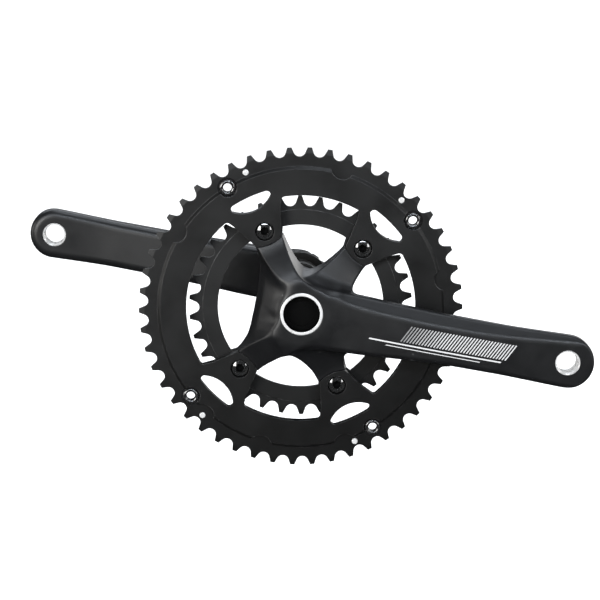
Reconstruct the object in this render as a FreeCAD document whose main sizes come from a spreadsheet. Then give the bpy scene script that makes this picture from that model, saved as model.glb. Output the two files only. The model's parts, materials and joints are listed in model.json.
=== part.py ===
import FreeCAD, Part
import math
import os
import re
import Sketcher

# Bicycle double crankset with its external-cup bottom bracket, in millimetres.
# Frame: origin on the spindle axis in the bicycle's centre plane, +X forward, +Z up,
# -Y towards the drive (right) side.  Crank-bound pieces are drawn with the right arm
# along +X and are then turned together about the spindle by crank_turn.
# In sketches on the XZ plane, "depth" is the distance from the centre plane towards
# the drive side, so depth = -Y.

doc = FreeCAD.newDocument("crankset")
V = FreeCAD.Vector

# ---------------------------------------------------------------- driving sizes
SIZES = {
    # bottom bracket cups for a 68 mm threaded shell
    "shell_half": 34.0,
    "cup_radius": 22.0,
    "cup_face": 45.5,
    "cup_bevel": 1.0,
    "cup_seat_radius": 18.5,
    "cup_shoulder": 37.4,
    "thread_radius": 17.4,
    "thread_end": 20.0,
    "stub_bore_radius": 15.6,
    "notch_count": 16,
    "notch_circle": 22.6,
    "notch_radius": 1.9,
    "notch_length": 8.0,
    # 25 x 37 x 7 bearing, with a reducing sleeve to the 24 mm spindle
    "bearing_bore_radius": 12.5,
    "bearing_width": 7.0,
    "ball_radius": 1.75,
    "ball_count": 18,
    "ball_path_radius": 15.5,
    "groove_radius": 1.8,
    "race_land": 1.0,
    "cage_half": 2.1,
    "cage_wall": 0.6,
    "pocket_radius": 1.83,
    "seal_width": 0.6,
    "seal_inset": 0.1,
    "seal_gap": 0.05,
    "gap": 0.02,
    "sleeve_start": 0.6,
    "sleeve_flange_radius": 18.0,
    "sleeve_boss": 0.5,
    "sleeve_boss_step": 0.2,
    # plastic tube and rings between the cups
    "tube_outer": 15.3,
    "tube_inner": 13.6,
    "tube_half": 31.0,
    "ring_place": 26.0,
    "ring_radius": 0.62,
    "ring_sink": 0.341,
    "ring_room": 0.1,
    "tube_groove_depth": 0.992,
    # spindle
    "spindle_radius": 12.0,
    "spindle_bore": 9.6,
    "press_radius": 13.4,
    "press_bevel": 0.4,
    "press_end": 47.5,
    "press_runout": 1.0,
    "plug_radius": 11.6,
    "plug_face": 7.0,
    "plug_back": 12.0,
    "plug_rim": 2.5,
    "plug_dish": 1.5,
    "plug_shoulder": 1.4,
    "spindle_left_end": 61.0,
    "spindle_end_bevel": 0.5,
    "spline_depth": 0.7,
    "spline_half": 1.1,
    "spline_length": 13.5,
    "spline_count": 16,
    "cap_thread_radius": 10.0,
    "cap_thread_length": 10.0,
    "cap_thread_runout": 0.8,
    # right crank arm and spider
    "crank_length": 170.0,
    "crank_turn": 10.34,
    "hub_face": 66.0,
    "hub_inner": 46.4,
    "hub_recess": 0.8,
    "hub_nose_radius": 17.0,
    "hub_nose_bevel": 2.0,
    "hub_nose_drop": 2.4,
    "hub_waist_radius": 20.5,
    "hub_waist": 58.0,
    "hub_base_radius": 28.0,
    "hub_base_step": 2.0,
    "hub_base": 52.5,
    "pedal_face": 73.0,
    "pedal_back": 60.0,
    "pedal_bore": 6.55,
    "pedal_mouth": 7.6,
    "arm_end_radius": 17.0,
    "arm_half": 15.8,
    "arm_root_half": 17.2,
    "arm_flare": 40.0,
    "arm_even": 75.0,
    "arm_taper": 130.0,
    "near_station": 30.0,
    "middle_station": 70.0,
    "far_station": 112.0,
    "root_front": 64.5,
    "near_front": 66.6,
    "middle_front": 70.6,
    "far_front": 72.7,
    "pedal_flat": 20.0,
    "right_root_back": 50.0,
    "right_near_back": 50.8,
    "right_middle_back": 54.2,
    "right_far_back": 57.4,
    "left_root_back": 47.4,
    "left_near_back": 47.4,
    "left_middle_back": 51.6,
    "left_far_back": 56.6,
    "facet_start": 34.0,
    "facet_drop": 8.0,
    "facet_back": 7.5,
    "trail_bevel": 2.0,
    "trail_reach": 2.6,
    "trail_depth": 2.5,
    "bolt_circle": 55.0,
    "bolt_turn": 55.0,
    "bolt_hole": 5.0,
    "spider_root": 22.0,
    "spider_root_half": 13.0,
    "spider_step": 48.3,
    "seam_bow": 23.6,
    "seam": 0.2,
    "spider_half": 9.6,
    "spider_tip": 63.0,
    "spider_tip_half": 8.6,
    "spider_front": 50.0,
    "spider_tab_front": 43.4,
    "spider_back": 40.9,
    "spider_overlap": 4.0,
    "cup_room": 24.5,
    # outer chainring
    "pitch": 12.7,
    "seat_radius": 3.95,
    "seat_angle": 66.0,
    "outer_teeth": 50,
    "outer_tooth_middle": 47.3,
    "tooth_half": 1.05,
    "tooth_height": 1.9,
    "tip_half": 0.5,
    "tip_bevel": 3.6,
    "outer_band_inner": 73.0,
    "outer_band_edge": 89.5,
    "outer_band_slope": 1.8,
    "outer_band_front": 50.0,
    "outer_band_back": 45.2,
    "outer_band_bevel": 1.0,
    "channel_inner": 80.5,
    "channel_outer": 87.0,
    "channel_floor": 47.8,
    "outer_tab_end": 48.2,
    "outer_tab_end_half": 8.8,
    "outer_tab_middle": 64.0,
    "outer_tab_middle_half": 15.2,
    "outer_tab_root_half": 21.0,
    "outer_tab_overlap": 1.2,
    "root_round": 2.5,
    "leaf_outer": 79.0,
    "leaf_side": 11.2,
    "leaf_corner": 2.6,
    "leaf_waist": 74.4,
    "leaf_half": 13.2,
    "leaf_bow": 19.5,
    "bolt_recess": 6.0,
    "bolt_seat": 45.0,
    "bolt_clear": 4.2,
    # inner chainring
    "inner_teeth": 34,
    "inner_tooth_middle": 39.6,
    "inner_tooth_half": 0.95,
    "inner_tip_rise": 0.7,
    "inner_band_inner": 53.0,
    "inner_band_edge": 62.7,
    "inner_band_back": 38.3,
    "inner_tab_end": 46.5,
    "inner_tab_end_half": 8.6,
    "inner_tab_root_half": 13.0,
    "inner_tab_overlap": 2.0,
    # chainring bolts and nuts
    "bolt_head_radius": 5.4,
    "bolt_head_front": 48.3,
    "bolt_shank_radius": 3.98,
    "bolt_end": 38.9,
    "rim_bevel": 0.45,
    "bolt_mouth": 3.3,
    "bolt_mouth_depth": 0.9,
    "bolt_mouth_cone": 0.8,
    "bolt_socket": 2.5,
    "bolt_socket_depth": 5.0,
    "nut_flange_radius": 6.2,
    "nut_flange": 1.2,
    "nut_sleeve_radius": 4.98,
    "nut_sleeve_end": 43.2,
    "nut_bore": 4.0,
    "nut_slot_half": 0.8,
    "nut_slot_depth": 0.7,
    # hollow rivets, shift pins and chain catch pin
    "rivet_turn": 49.0,
    "rivet_circle": 90.5,
    "rivet_radius": 3.3,
    "rivet_head_radius": 5.0,
    "rivet_tail_radius": 3.9,
    "rivet_bore": 2.7,
    "rivet_flare": 1.2,
    "rivet_back": 44.4,
    "rivet_front": 49.9,
    "scallop_radius": 6.0,
    "pin_turn": 58.0,
    "pin_circle": 94.0,
    "pin_radius": 1.9,
    "pin_tail_radius": 2.4,
    "pin_back": 45.4,
    "pin_front": 49.2,
    "pin_bevel": 0.5,
    "ramp_radius": 7.5,
    "ramp_circle": 94.0,
    "first_ramp": 22.0,
    "second_ramp": 84.0,
    "third_ramp": 158.0,
    "fourth_ramp": 238.0,
    "fifth_ramp": 264.0,
    "sixth_ramp": 298.0,
    "catch_circle": 85.0,
    "catch_radius": 2.5,
    "catch_front": 55.0,
    "collar_radius": 3.4,
    "collar_height": 2.0,
    # left crank arm
    "left_hub_outer": 65.0,
    "left_hub_radius": 18.5,
    "left_hub_bevel": 1.5,
    "left_hub_rim": 2.0,
    "tail_end": 28.0,
    "tail_half": 13.0,
    "tail_flare": 2.0,
    "tail_corner": 6.0,
    "tail_corner_drop": 5.0,
    "tail_inset": 0.6,
    "tail_outer_inset": 1.0,
    "clamp_gap_half": 1.0,
    "clamp_bolt_place": 19.5,
    "inner_clamp_bolt": 51.0,
    "outer_clamp_bolt": 60.0,
    "clamp_bolt_radius": 2.5,
    "clamp_hole": 2.55,
    "clamp_head_radius": 4.2,
    "clamp_head_recess": 4.4,
    "clamp_head_seat": 8.0,
    "clamp_head_height": 3.6,
    "clamp_end": 10.0,
    "clamp_socket": 2.3,
    "clamp_socket_depth": 2.8,
    "cap_flange_radius": 14.0,
    "cap_recess": 14.2,
    "cap_seat": 62.0,
    "cap_flange": 2.2,
    "cap_bevel": 0.5,
    "cap_length": 7.0,
    "cap_hollow": 6.6,
    "cap_notch": 1.5,
    "cap_notch_length": 5.0,
    "cap_notch_count": 8,
    # stopper plate
    "plate_half": 0.6,
    "plate_near": 13.4,
    "plate_far": 27.0,
    "plate_inner": 48.2,
    "plate_outer": 57.2,
    "plate_corner": 2.0,
    "plate_pin_root": 0.8,
    "plate_pin_radius": 0.7,
    "plate_pin_reach": 11.1,
    "plate_pin_place": 56.4,
    "plate_hole_radius": 1.6,
    "plate_hole_shift": 0.55,
    # how far a cutting outline runs past the material it cuts
    "overrun": 2.0,
}

sheet = doc.addObject("Spreadsheet::Sheet", "Sizes")
for row, (alias, number) in enumerate(SIZES.items(), start=1):
    sheet.set(f"A{row}", alias)
    sheet.set(f"B{row}", repr(number))
    sheet.setAlias(f"B{row}", alias)
doc.recompute()

WORD = re.compile(r"[a-z][a-z_]+")


def link(formula):
    """Turn size names in a formula into references to the spreadsheet."""
    return WORD.sub(lambda m: f"Sizes.{m[0]}" if m[0] in SIZES else m[0], str(formula))


def amount(formula):
    """The present value of a formula."""
    return float(sheet.evalExpression(str(formula)))


def bind(thing, name, formula):
    thing.setExpression(name, link(formula))


# ---------------------------------------------------------------- drawing helpers
def new_body(label, turns_with_crank=False):
    body = doc.addObject("PartDesign::Body", label)
    body.Label = label
    body.AllowCompound = True
    if turns_with_crank:
        body.Placement.Rotation = FreeCAD.Rotation(V(0, 1, 0), 1)
        bind(body, "Placement.Rotation.Angle", "crank_turn")
    return body


def new_sketch(body, name, plane, level="0"):
    """A sketch on one of the body's origin planes, moved along its normal by level."""
    sketch = body.newObject("Sketcher::SketchObject", name)
    support = next(f for f in body.Origin.OriginFeatures if f.Role == plane)
    sketch.AttachmentSupport = [(support, "")]
    sketch.MapMode = "FlatFace"
    bind(sketch, "AttachmentOffset.Base.z", level)
    return sketch


def pin_point(sketch, shape, which, across, up):
    """Hold one point of a sketch at two formulas."""
    for kind, formula, axis in (("DistanceX", across, -2), ("DistanceY", up, -1)):
        if abs(amount(formula)) < 1e-9:
            sketch.addConstraint(Sketcher.Constraint("PointOnObject", shape, which, axis))
            continue
        rule = Sketcher.Constraint(kind, -1, 1, shape, which, amount(formula))
        bind(sketch, f"Constraints[{sketch.addConstraint(rule)}]", formula)


def circle(sketch, across, up, radius):
    centre = V(amount(across), amount(up), 0)
    shape = sketch.addGeometry(Part.Circle(centre, V(0, 0, 1), amount(radius)), False)
    pin_point(sketch, shape, 3, across, up)
    rule = Sketcher.Constraint("Radius", shape, amount(radius))
    bind(sketch, f"Constraints[{sketch.addConstraint(rule)}]", radius)


def arc_centre(first, last, radius):
    """Centre of the shorter arc; a positive radius turns anticlockwise from first to last."""
    middle = (first + last) * 0.5
    half = (last - first) * 0.5
    offset = math.sqrt(max(radius * radius - half.Length ** 2, 0.0))
    left = V(-half.y, half.x, 0).normalize()
    return middle + left * (offset if radius > 0 else -offset)


def outline(sketch, corners):
    """A closed outline.  A corner is (across, up) or (across, up, radius); a radius makes
    the stretch to the next corner an arc, anticlockwise when it is positive."""
    spots = [V(amount(c[0]), amount(c[1]), 0) for c in corners]
    ends = []
    for i, corner in enumerate(corners):
        first, last = spots[i], spots[(i + 1) % len(spots)]
        if len(corner) == 2:
            shape = sketch.addGeometry(Part.LineSegment(first, last), False)
            ends.append((shape, 1, 2))
            continue
        radius = amount(corner[2])
        centre = arc_centre(first, last, radius)
        start, stop = (first, last) if radius > 0 else (last, first)
        angles = [math.atan2(p.y - centre.y, p.x - centre.x) for p in (start, stop)]
        whole = Part.Circle(centre, V(0, 0, 1), abs(radius))
        shape = sketch.addGeometry(Part.ArcOfCircle(whole, *angles), False)
        ends.append((shape, 1, 2) if radius > 0 else (shape, 2, 1))
    for i, corner in enumerate(corners):
        following = ends[(i + 1) % len(ends)]
        join = Sketcher.Constraint("Coincident", ends[i][0], ends[i][2], following[0], following[1])
        sketch.addConstraint(join)
        pin_point(sketch, ends[i][0], ends[i][1], corner[0], corner[1])
        if len(corner) == 3:
            rule = Sketcher.Constraint("Radius", ends[i][0], abs(amount(corner[2])))
            bind(sketch, f"Constraints[{sketch.addConstraint(rule)}]", f"abs({corner[2]})")


def along(out, side, turn):
    """Sheet formulas of the point at distance out along a spoke direction and side across it."""
    across = f"({out}) * cos({turn}) - ({side}) * sin({turn})"
    up = f"({out}) * sin({turn}) + ({side}) * cos({turn})"
    return across, up


def on_four_spokes(turn):
    """The four mirror-image directions of an angle from the crank arm."""
    return [f"({turn})", f"(180 - ({turn}))", f"(180 + ({turn}))", f"(360 - ({turn}))"]


def feature(body, kind, name, sketch, **settings):
    """Add a feature made from a sketch; a Length given as a formula is bound to the sheet."""
    made = body.newObject(kind, name)
    made.Profile = sketch
    for key, setting in settings.items():
        if isinstance(setting, str) and key == "Length":
            bind(made, key, setting)
        else:
            setattr(made, key, setting)
    body.Tip = made
    return made


def turned(body, name, corners):
    """A ring turned about the spindle axis; corners are (radius, y) formulas."""
    sketch = new_sketch(body, name + "_profile", "XY_Plane")
    outline(sketch, corners)
    axis = (sketch, ["V_Axis"])
    return feature(body, "PartDesign::Revolution", name, sketch, ReferenceAxis=axis, Angle=360)


def pad(body, name, sketch, length, **settings):
    return feature(body, "PartDesign::Pad", name, sketch, Length=length, **settings)


def pocket(body, name, sketch, length=None, **settings):
    """Cut from the sketch against its normal, or through everything when no length is given."""
    if length is None:
        return feature(body, "PartDesign::Pocket", name, sketch, Type="ThroughAll",
                       SideType="Two sides", Type2="ThroughAll", **settings)
    return feature(body, "PartDesign::Pocket", name, sketch, Length=length, **settings)


def around_spindle(body, name, original, count):
    pattern = body.newObject("PartDesign::PolarPattern", name)
    pattern.Originals = [original]
    axis = next(f for f in body.Origin.OriginFeatures if f.Role == "Y_Axis")
    pattern.Axis = (axis, [""])
    pattern.Angle = 360
    bind(pattern, "Occurrences", count)
    body.Tip = pattern
    return pattern


def chamfer(body, name, base, width, chosen):
    """Bevel the edges of the base feature that the chosen test accepts."""
    doc.recompute()
    names = [f"Edge{i}" for i, edge in enumerate(base.Shape.Edges, start=1) if chosen(edge)]
    bevel = body.newObject("PartDesign::Chamfer", name)
    bevel.Base = (base, names)
    bevel.Size = width
    body.Tip = bevel
    return bevel


def fillet(body, name, base, radius, chosen):
    """Round the edges of the base feature that the chosen test accepts."""
    doc.recompute()
    names = [f"Edge{i}" for i, edge in enumerate(base.Shape.Edges, start=1) if chosen(edge)]
    bend = body.newObject("PartDesign::Fillet", name)
    bend.Base = (base, names)
    bind(bend, "Radius", radius)
    body.Tip = bend
    return bend


def corner_edge(low, high):
    """A test for straight edges along Y whose distance from the spindle axis is in a range."""
    def test(edge):
        box = edge.BoundBox
        away = math.hypot(box.Center.x, box.Center.z)
        return box.XLength < 1e-3 and box.ZLength < 1e-3 and low < away < high
    return test


def round_edge(radius, y):
    """A test for circular edges of one radius lying at one y."""
    def test(edge):
        curve = edge.Curve
        return (isinstance(curve, Part.Circle) and abs(curve.Radius - radius) < 1e-3
                and abs(edge.BoundBox.YMin - y) < 1e-3 and edge.BoundBox.YLength < 1e-3)
    return test


# ---------------------------------------------------------------- bottom bracket
def bearing_cup(label, side):
    """Threaded cup; side is -1 on the drive side and 1 on the left."""
    body = new_body(label)
    turned(body, "cup", [
        ("stub_bore_radius", f"{side} * thread_end"),
        ("thread_radius", f"{side} * thread_end"),
        ("thread_radius", f"{side} * shell_half"),
        ("cup_radius", f"{side} * shell_half"),
        ("cup_radius", f"{side} * (cup_face - cup_bevel)"),
        ("cup_radius - cup_bevel", f"{side} * cup_face"),
        ("cup_seat_radius", f"{side} * cup_face"),
        ("cup_seat_radius", f"{side} * cup_shoulder"),
        ("stub_bore_radius", f"{side} * cup_shoulder"),
    ])
    # Tool notches run along the rim from the outer face.
    sketch = new_sketch(body, "notch_outline", "XZ_Plane", f"-{side} * cup_face")
    circle(sketch, "notch_circle", "0", "notch_radius")
    notch = pocket(body, "notch", sketch, "notch_length", Reversed=side > 0)
    around_spindle(body, "notches", notch, "notch_count")


def bearing_face(side, inset):
    return f"{side} * (cup_shoulder + {inset})"


def race(label, side, inner):
    """Inner race on the crank or outer race in the cup, with a half-round ball groove."""
    body = new_body(label, turns_with_crank=inner)
    wall = "bearing_bore_radius" if inner else "cup_seat_radius - gap"
    land = "ball_path_radius - race_land" if inner else "ball_path_radius + race_land"
    near, far = bearing_face(side, "0"), bearing_face(side, "bearing_width")
    turned(body, "ring", [(wall, near), (land, near), (land, far), (wall, far)])
    sketch = new_sketch(body, "groove_circle", "XY_Plane")
    circle(sketch, "ball_path_radius", bearing_face(side, "bearing_width / 2"), "groove_radius")
    axis = (sketch, ["V_Axis"])
    feature(body, "PartDesign::Groove", "groove", sketch, ReferenceAxis=axis, Angle=360)


def bearing_seals(label, side):
    body = new_body(label)
    for name, start in (("inboard", "seal_inset"),
                        ("outboard", "bearing_width - seal_inset - seal_width")):
        near, far = bearing_face(side, start), bearing_face(side, f"({start}) + seal_width")
        inside = "ball_path_radius - race_land + seal_gap"
        outside = "ball_path_radius + race_land - gap"
        turned(body, name, [(inside, near), (outside, near), (outside, far), (inside, far)])


def ball_cage(label, side):
    body = new_body(label)
    middle = bearing_face(side, "bearing_width / 2")
    inside, outside = "ball_path_radius - cage_wall", "ball_path_radius + cage_wall"
    near, far = f"{middle} - cage_half", f"{middle} + cage_half"
    turned(body, "ribbon", [(inside, near), (outside, near), (outside, far), (inside, far)])
    sketch = new_sketch(body, "pocket_circle", "YZ_Plane", "ball_path_radius + ball_radius")
    circle(sketch, middle, "0", "pocket_radius")
    hole = pocket(body, "ball_pocket", sketch, "ball_radius * 2")
    around_spindle(body, "ball_pockets", hole, "ball_count")


def balls(label, side):
    """The loose balls of one bearing as a group of spheres on the ball path."""
    group = doc.addObject("Part::Compound", label)
    group.Label = label
    spheres = []
    for i in range(int(SIZES["ball_count"])):
        ball = doc.addObject("Part::Sphere", f"{label}_{i + 1}")
        bind(ball, "Radius", "ball_radius")
        bind(ball, "Placement.Base.x", f"ball_path_radius * cos(360 * {i} / ball_count)")
        bind(ball, "Placement.Base.y", bearing_face(side, "bearing_width / 2"))
        bind(ball, "Placement.Base.z", f"ball_path_radius * sin(360 * {i} / ball_count)")
        spheres.append(ball)
    group.Links = spheres
    return group


def dust_sleeve(label, side):
    """Plastic liner between spindle and inner race, with the dust flange."""
    body = new_body(label, turns_with_crank=True)
    outer_face = f"{side} * (cup_shoulder + bearing_width)"
    boss_face = f"{side} * (cup_shoulder + bearing_width + sleeve_boss)"
    bore = "spindle_radius + gap"
    boss = "ball_path_radius - race_land - sleeve_boss_step"
    turned(body, "sleeve", [
        (bore, f"{side} * (cup_shoulder + sleeve_start)"),
        ("bearing_bore_radius - gap", f"{side} * (cup_shoulder + sleeve_start)"),
        ("bearing_bore_radius - gap", outer_face),
        (boss, outer_face),
        (boss, boss_face),
        ("sleeve_flange_radius", boss_face),
        ("sleeve_flange_radius", f"{side} * hub_inner"),
        (bore, f"{side} * hub_inner"),
    ])


def shell_tube():
    """Plastic tube that keeps water off the spindle between the cups."""
    body = new_body("shell_tube")
    corners = [("tube_inner", "-tube_half"), ("tube_outer", "-tube_half")]
    floor = "tube_outer - tube_groove_depth"
    for side in (-1, 1):
        low = f"{side} * ring_place - ring_radius - ring_room"
        high = f"{side} * ring_place + ring_radius + ring_room"
        corners += [("tube_outer", low), (floor, low), (floor, high), ("tube_outer", high)]
    corners += [("tube_outer", "tube_half"), ("tube_inner", "tube_half")]
    turned(body, "tube", corners)


def tube_seals():
    body = new_body("tube_seals")
    for name, side in (("right_ring", -1), ("left_ring", 1)):
        sketch = new_sketch(body, name + "_section", "XY_Plane")
        circle(sketch, "tube_outer - ring_sink", f"{side} * ring_place", "ring_radius")
        axis = (sketch, ["V_Axis"])
        feature(body, "PartDesign::Revolution", name, sketch, ReferenceAxis=axis, Angle=360)


# ---------------------------------------------------------------- spindle
def spindle():
    body = new_body("spindle", turns_with_crank=True)
    turned(body, "shaft", [
        ("plug_radius", "-hub_face"),
        ("press_radius - press_bevel", "-hub_face"),
        ("press_radius", "-hub_face + press_bevel"),
        ("press_radius", "-press_end"),
        ("spindle_radius", "-press_end + press_runout"),
        ("spindle_radius", "spindle_left_end - spindle_end_bevel"),
        ("spindle_radius - spindle_end_bevel", "spindle_left_end"),
        ("cap_thread_radius", "spindle_left_end"),
        ("cap_thread_radius", "spindle_left_end - cap_thread_length"),
        ("spindle_bore", "spindle_left_end - cap_thread_length - cap_thread_runout"),
        ("spindle_bore", "-hub_face + plug_back + plug_shoulder"),
        ("plug_radius", "-hub_face + plug_back"),
    ])
    sketch = new_sketch(body, "spline_outline", "XZ_Plane", "-spindle_left_end")
    spline_outline(sketch)
    groove = pocket(body, "spline", sketch, "spline_length", Reversed=True)
    around_spindle(body, "splines", groove, "spline_count")
    sketch = new_sketch(body, "plate_hole_circle", "YZ_Plane", "spindle_radius + overrun")
    circle(sketch, "plate_pin_place + plate_hole_shift", "0", "plate_hole_radius")
    pocket(body, "plate_hole", sketch, "spindle_radius")


def spline_outline(sketch):
    """One square groove across the rim of the spindle, off the line of the stopper plate."""
    turn = "(180 / spline_count)"
    corners = [along("spindle_radius - spline_depth", "-spline_half", turn),
               along("spindle_radius + overrun", "-spline_half", turn),
               along("spindle_radius + overrun", "spline_half", turn),
               along("spindle_radius - spline_depth", "spline_half", turn)]
    outline(sketch, corners)


def spindle_plug():
    body = new_body("spindle_plug", turns_with_crank=True)
    turned(body, "plug", [
        ("0", "-hub_face + plug_face + plug_dish"),
        ("plug_radius - plug_rim", "-hub_face + plug_face + plug_dish"),
        ("plug_radius - plug_rim", "-hub_face + plug_face"),
        ("plug_radius - gap", "-hub_face + plug_face"),
        ("plug_radius - gap", "-hub_face + plug_back"),
        ("0", "-hub_face + plug_back"),
    ])


# ---------------------------------------------------------------- crank arms
def arm_blade(body, side, direction):
    """The blade of an arm: its top view as a thick pad, cut back to its front view.
    side is -1 on the drive side, direction is 1 when the blade points along +X."""
    word = "right" if side < 0 else "left"
    sketch = new_sketch(body, "blade_top_view", "XY_Plane")
    end, flat = "crank_length + arm_end_radius", "crank_length - pedal_flat"
    profile = [("0", f"{word}_root_back"), ("0", "root_front"),
               ("near_station", "near_front"), ("middle_station", "middle_front"),
               ("far_station", "far_front"), (flat, "pedal_face"), (end, "pedal_face"),
               (end, "pedal_back"), (flat, "pedal_back"), ("far_station", f"{word}_far_back"),
               ("middle_station", f"{word}_middle_back"), ("near_station", f"{word}_near_back")]
    outline(sketch, [(f"{direction} * ({out})", f"{side} * ({away})") for out, away in profile])
    pad(body, "blade", sketch, "(arm_root_half + overrun) * 2", Midplane=True)

    # Cut away everything between a tall frame and the front view of the blade.
    sketch = new_sketch(body, "blade_front_view", "XZ_Plane")
    near, far, tall = "-overrun", f"{end} + overrun", "arm_root_half + overrun * 2"
    frame = [(near, tall), (far, tall), (far, f"-({tall})"), (near, f"-({tall})")]
    outline(sketch, [(f"{direction} * ({out})", up) for out, up in frame])
    upper = [("-overrun / 2", "arm_root_half"), ("arm_flare", "arm_root_half"), ("arm_even", "arm_half"),
             ("arm_taper", "arm_half")]
    lower = [(out, f"-{up}") for out, up in reversed(upper)]
    round_end = f"-{direction} * arm_end_radius" if direction > 0 else "arm_end_radius"
    front = [(f"{direction} * ({out})", up) for out, up in upper]
    front += [(f"{direction} * crank_length", "arm_end_radius", round_end),
              (f"{direction} * ({end})", "0", round_end),
              (f"{direction} * crank_length", "-arm_end_radius")]
    front += [(f"{direction} * ({out})", up) for out, up in lower]
    outline(sketch, front)
    pocket(body, "blade_sides", sketch)

    # A long bevel along the leading front edge and a narrow one along the trailing edge.
    # The left arm is the right arm's mirror image turned half a turn, so its edges swap.
    sketch = new_sketch(body, "bevel_section", "YZ_Plane", f"{direction} * facet_start")
    beyond, aside = "pedal_face + overrun", "arm_root_half + overrun"
    trail_start = "-arm_half + trail_bevel"
    leading = [(beyond, "facet_drop"), ("pedal_face", "facet_drop"),
               ("pedal_face - facet_back", "arm_root_half"),
               ("pedal_face - facet_back", aside), (beyond, aside)]
    trailing = [(beyond, trail_start), ("pedal_face", trail_start),
                ("pedal_face - trail_depth", f"{trail_start} - trail_reach"),
                ("pedal_face - trail_depth", f"-({aside})"), (beyond, f"-({aside})")]
    for section in (leading, trailing):
        outline(sketch, [(f"{side} * ({away})", f"{direction} * ({up})") for away, up in section])
    pocket(body, "bevels", sketch, "crank_length", Reversed=direction > 0)


def pedal_eye(body, side, direction):
    """Pedal thread bore with a chamfered mouth at both faces."""
    sketch = new_sketch(body, "pedal_circle", "XZ_Plane")
    circle(sketch, f"{direction} * crank_length", "0", "pedal_bore")
    eye = pocket(body, "pedal_bore", sketch)
    faces = (side * SIZES["pedal_face"], side * SIZES["pedal_back"])

    def mouth(edge):
        return any(round_edge(SIZES["pedal_bore"], y)(edge) for y in faces)
    chamfer(body, "pedal_mouth", eye, SIZES["pedal_mouth"] - SIZES["pedal_bore"], mouth)


def right_crank_arm():
    body = new_body("right_crank_arm", turns_with_crank=True)
    arm_blade(body, side=-1, direction=1)
    turned(body, "hub", [
        ("press_radius", "-hub_face + hub_recess"),
        ("hub_nose_radius - hub_nose_bevel", "-hub_face + hub_recess"),
        ("hub_nose_radius", "-hub_face + hub_nose_drop"),
        ("hub_waist_radius", "-hub_waist"),
        ("hub_base_radius - hub_base_step", "-hub_base"),
        ("hub_base_radius", "-spider_front"),
        ("hub_base_radius", "-hub_inner"),
        ("press_radius", "-hub_inner"),
    ])
    spokes = new_sketch(body, "spider_arms_outline", "XZ_Plane", "spider_back")
    tabs = new_sketch(body, "spider_tabs_outline", "XZ_Plane", "spider_back")
    holes = new_sketch(body, "bolt_circles", "XZ_Plane")
    hollow = "-(seam_bow + seam)"
    for turn in on_four_spokes("bolt_turn"):
        outline(spokes, [along("spider_root", "-spider_root_half", turn),
                         along("spider_step", "-spider_half", turn) + (hollow,),
                         along("spider_step", "spider_half", turn),
                         along("spider_root", "spider_root_half", turn)])
        outline(tabs, [along("spider_step - spider_overlap", "-spider_tip_half", turn),
                       along("bolt_circle", "-spider_tip_half", turn),
                       along("spider_tip", "-spider_tip_half / 2", turn),
                       along("spider_tip", "spider_tip_half / 2", turn),
                       along("bolt_circle", "spider_tip_half", turn),
                       along("spider_step - spider_overlap", "spider_tip_half", turn)])
        circle(holes, *along("bolt_circle", "0", turn), "bolt_hole")
    pad(body, "spider_arms", spokes, "spider_front - spider_back")
    pad(body, "spider_tabs", tabs, "spider_tab_front - spider_back")
    pocket(body, "bolt_holes", holes, "spider_front", Reversed=True)
    # Room for the bearing cup behind the spider.
    sketch = new_sketch(body, "cup_room_circle", "XZ_Plane", "hub_inner")
    circle(sketch, "0", "0", "cup_room")
    pocket(body, "cup_room", sketch, "hub_inner")
    sketch = new_sketch(body, "spindle_circle", "XZ_Plane")
    circle(sketch, "0", "0", "press_radius + gap / 2")
    pocket(body, "spindle_bore", sketch)
    pedal_eye(body, side=-1, direction=1)


def left_crank_arm():
    body = new_body("left_crank_arm", turns_with_crank=True)
    arm_blade(body, side=1, direction=-1)
    turned(body, "hub", [
        ("spindle_bore", "hub_inner"),
        ("left_hub_radius - left_hub_bevel", "hub_inner"),
        ("left_hub_radius", "hub_inner + left_hub_bevel"),
        ("left_hub_radius", "left_hub_outer - left_hub_rim"),
        ("left_hub_radius - left_hub_rim", "left_hub_outer"),
        ("spindle_bore", "left_hub_outer"),
    ])
    sketch = new_sketch(body, "tail_outline", "XZ_Plane", "-hub_inner - tail_inset")
    corner, tip_half = "tail_end - tail_corner", "(tail_half - tail_corner_drop)"
    outline(sketch, [("0", "tail_half + tail_flare"), (corner, "tail_half"),
                     ("tail_end", tip_half), ("tail_end", f"-{tip_half}"),
                     (corner, "-tail_half"), ("0", "-tail_half - tail_flare")])
    thickness = "left_hub_outer - hub_inner - tail_inset - tail_outer_inset"
    pad(body, "tail", sketch, thickness, Reversed=True)
    splined_bore(body)
    clamp(body)
    pedal_eye(body, side=1, direction=-1)


def splined_bore(body):
    """A bore on the spline floor of the spindle, opened between the ridges to its rim."""
    sketch = new_sketch(body, "bore_circle", "XZ_Plane")
    # The flat floor of a groove reaches farthest out at its two corners.
    floor = "spindle_radius - spline_depth"
    corner = f"sqrt(({floor}) * ({floor}) + spline_half * spline_half)"
    circle(sketch, "0", "0", f"{corner} + gap")
    pocket(body, "bore", sketch)
    sketch = new_sketch(body, "land_outline", "XZ_Plane")
    # The land of the spindle between two grooves, half a spline step from the grooves.
    half = "((spindle_radius + gap) * sin(180 / spline_count) - spline_half + gap * 3)"
    outline(sketch, [(f"{floor} - overrun", f"-{half}"), ("spindle_radius + gap", f"-{half}"),
                     ("spindle_radius + gap", half), (f"{floor} - overrun", half)])
    land = pocket(body, "land", sketch)
    around_spindle(body, "lands", land, "spline_count")
    sketch = new_sketch(body, "lead_circle", "XZ_Plane", "-spindle_left_end + spline_length")
    circle(sketch, "0", "0", "spindle_radius + gap")
    pocket(body, "lead", sketch, "shell_half", Reversed=True)
    sketch = new_sketch(body, "cap_recess_circle", "XZ_Plane", "-cap_seat")
    circle(sketch, "0", "0", "cap_recess")
    pocket(body, "cap_recess", sketch, "shell_half")


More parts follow.
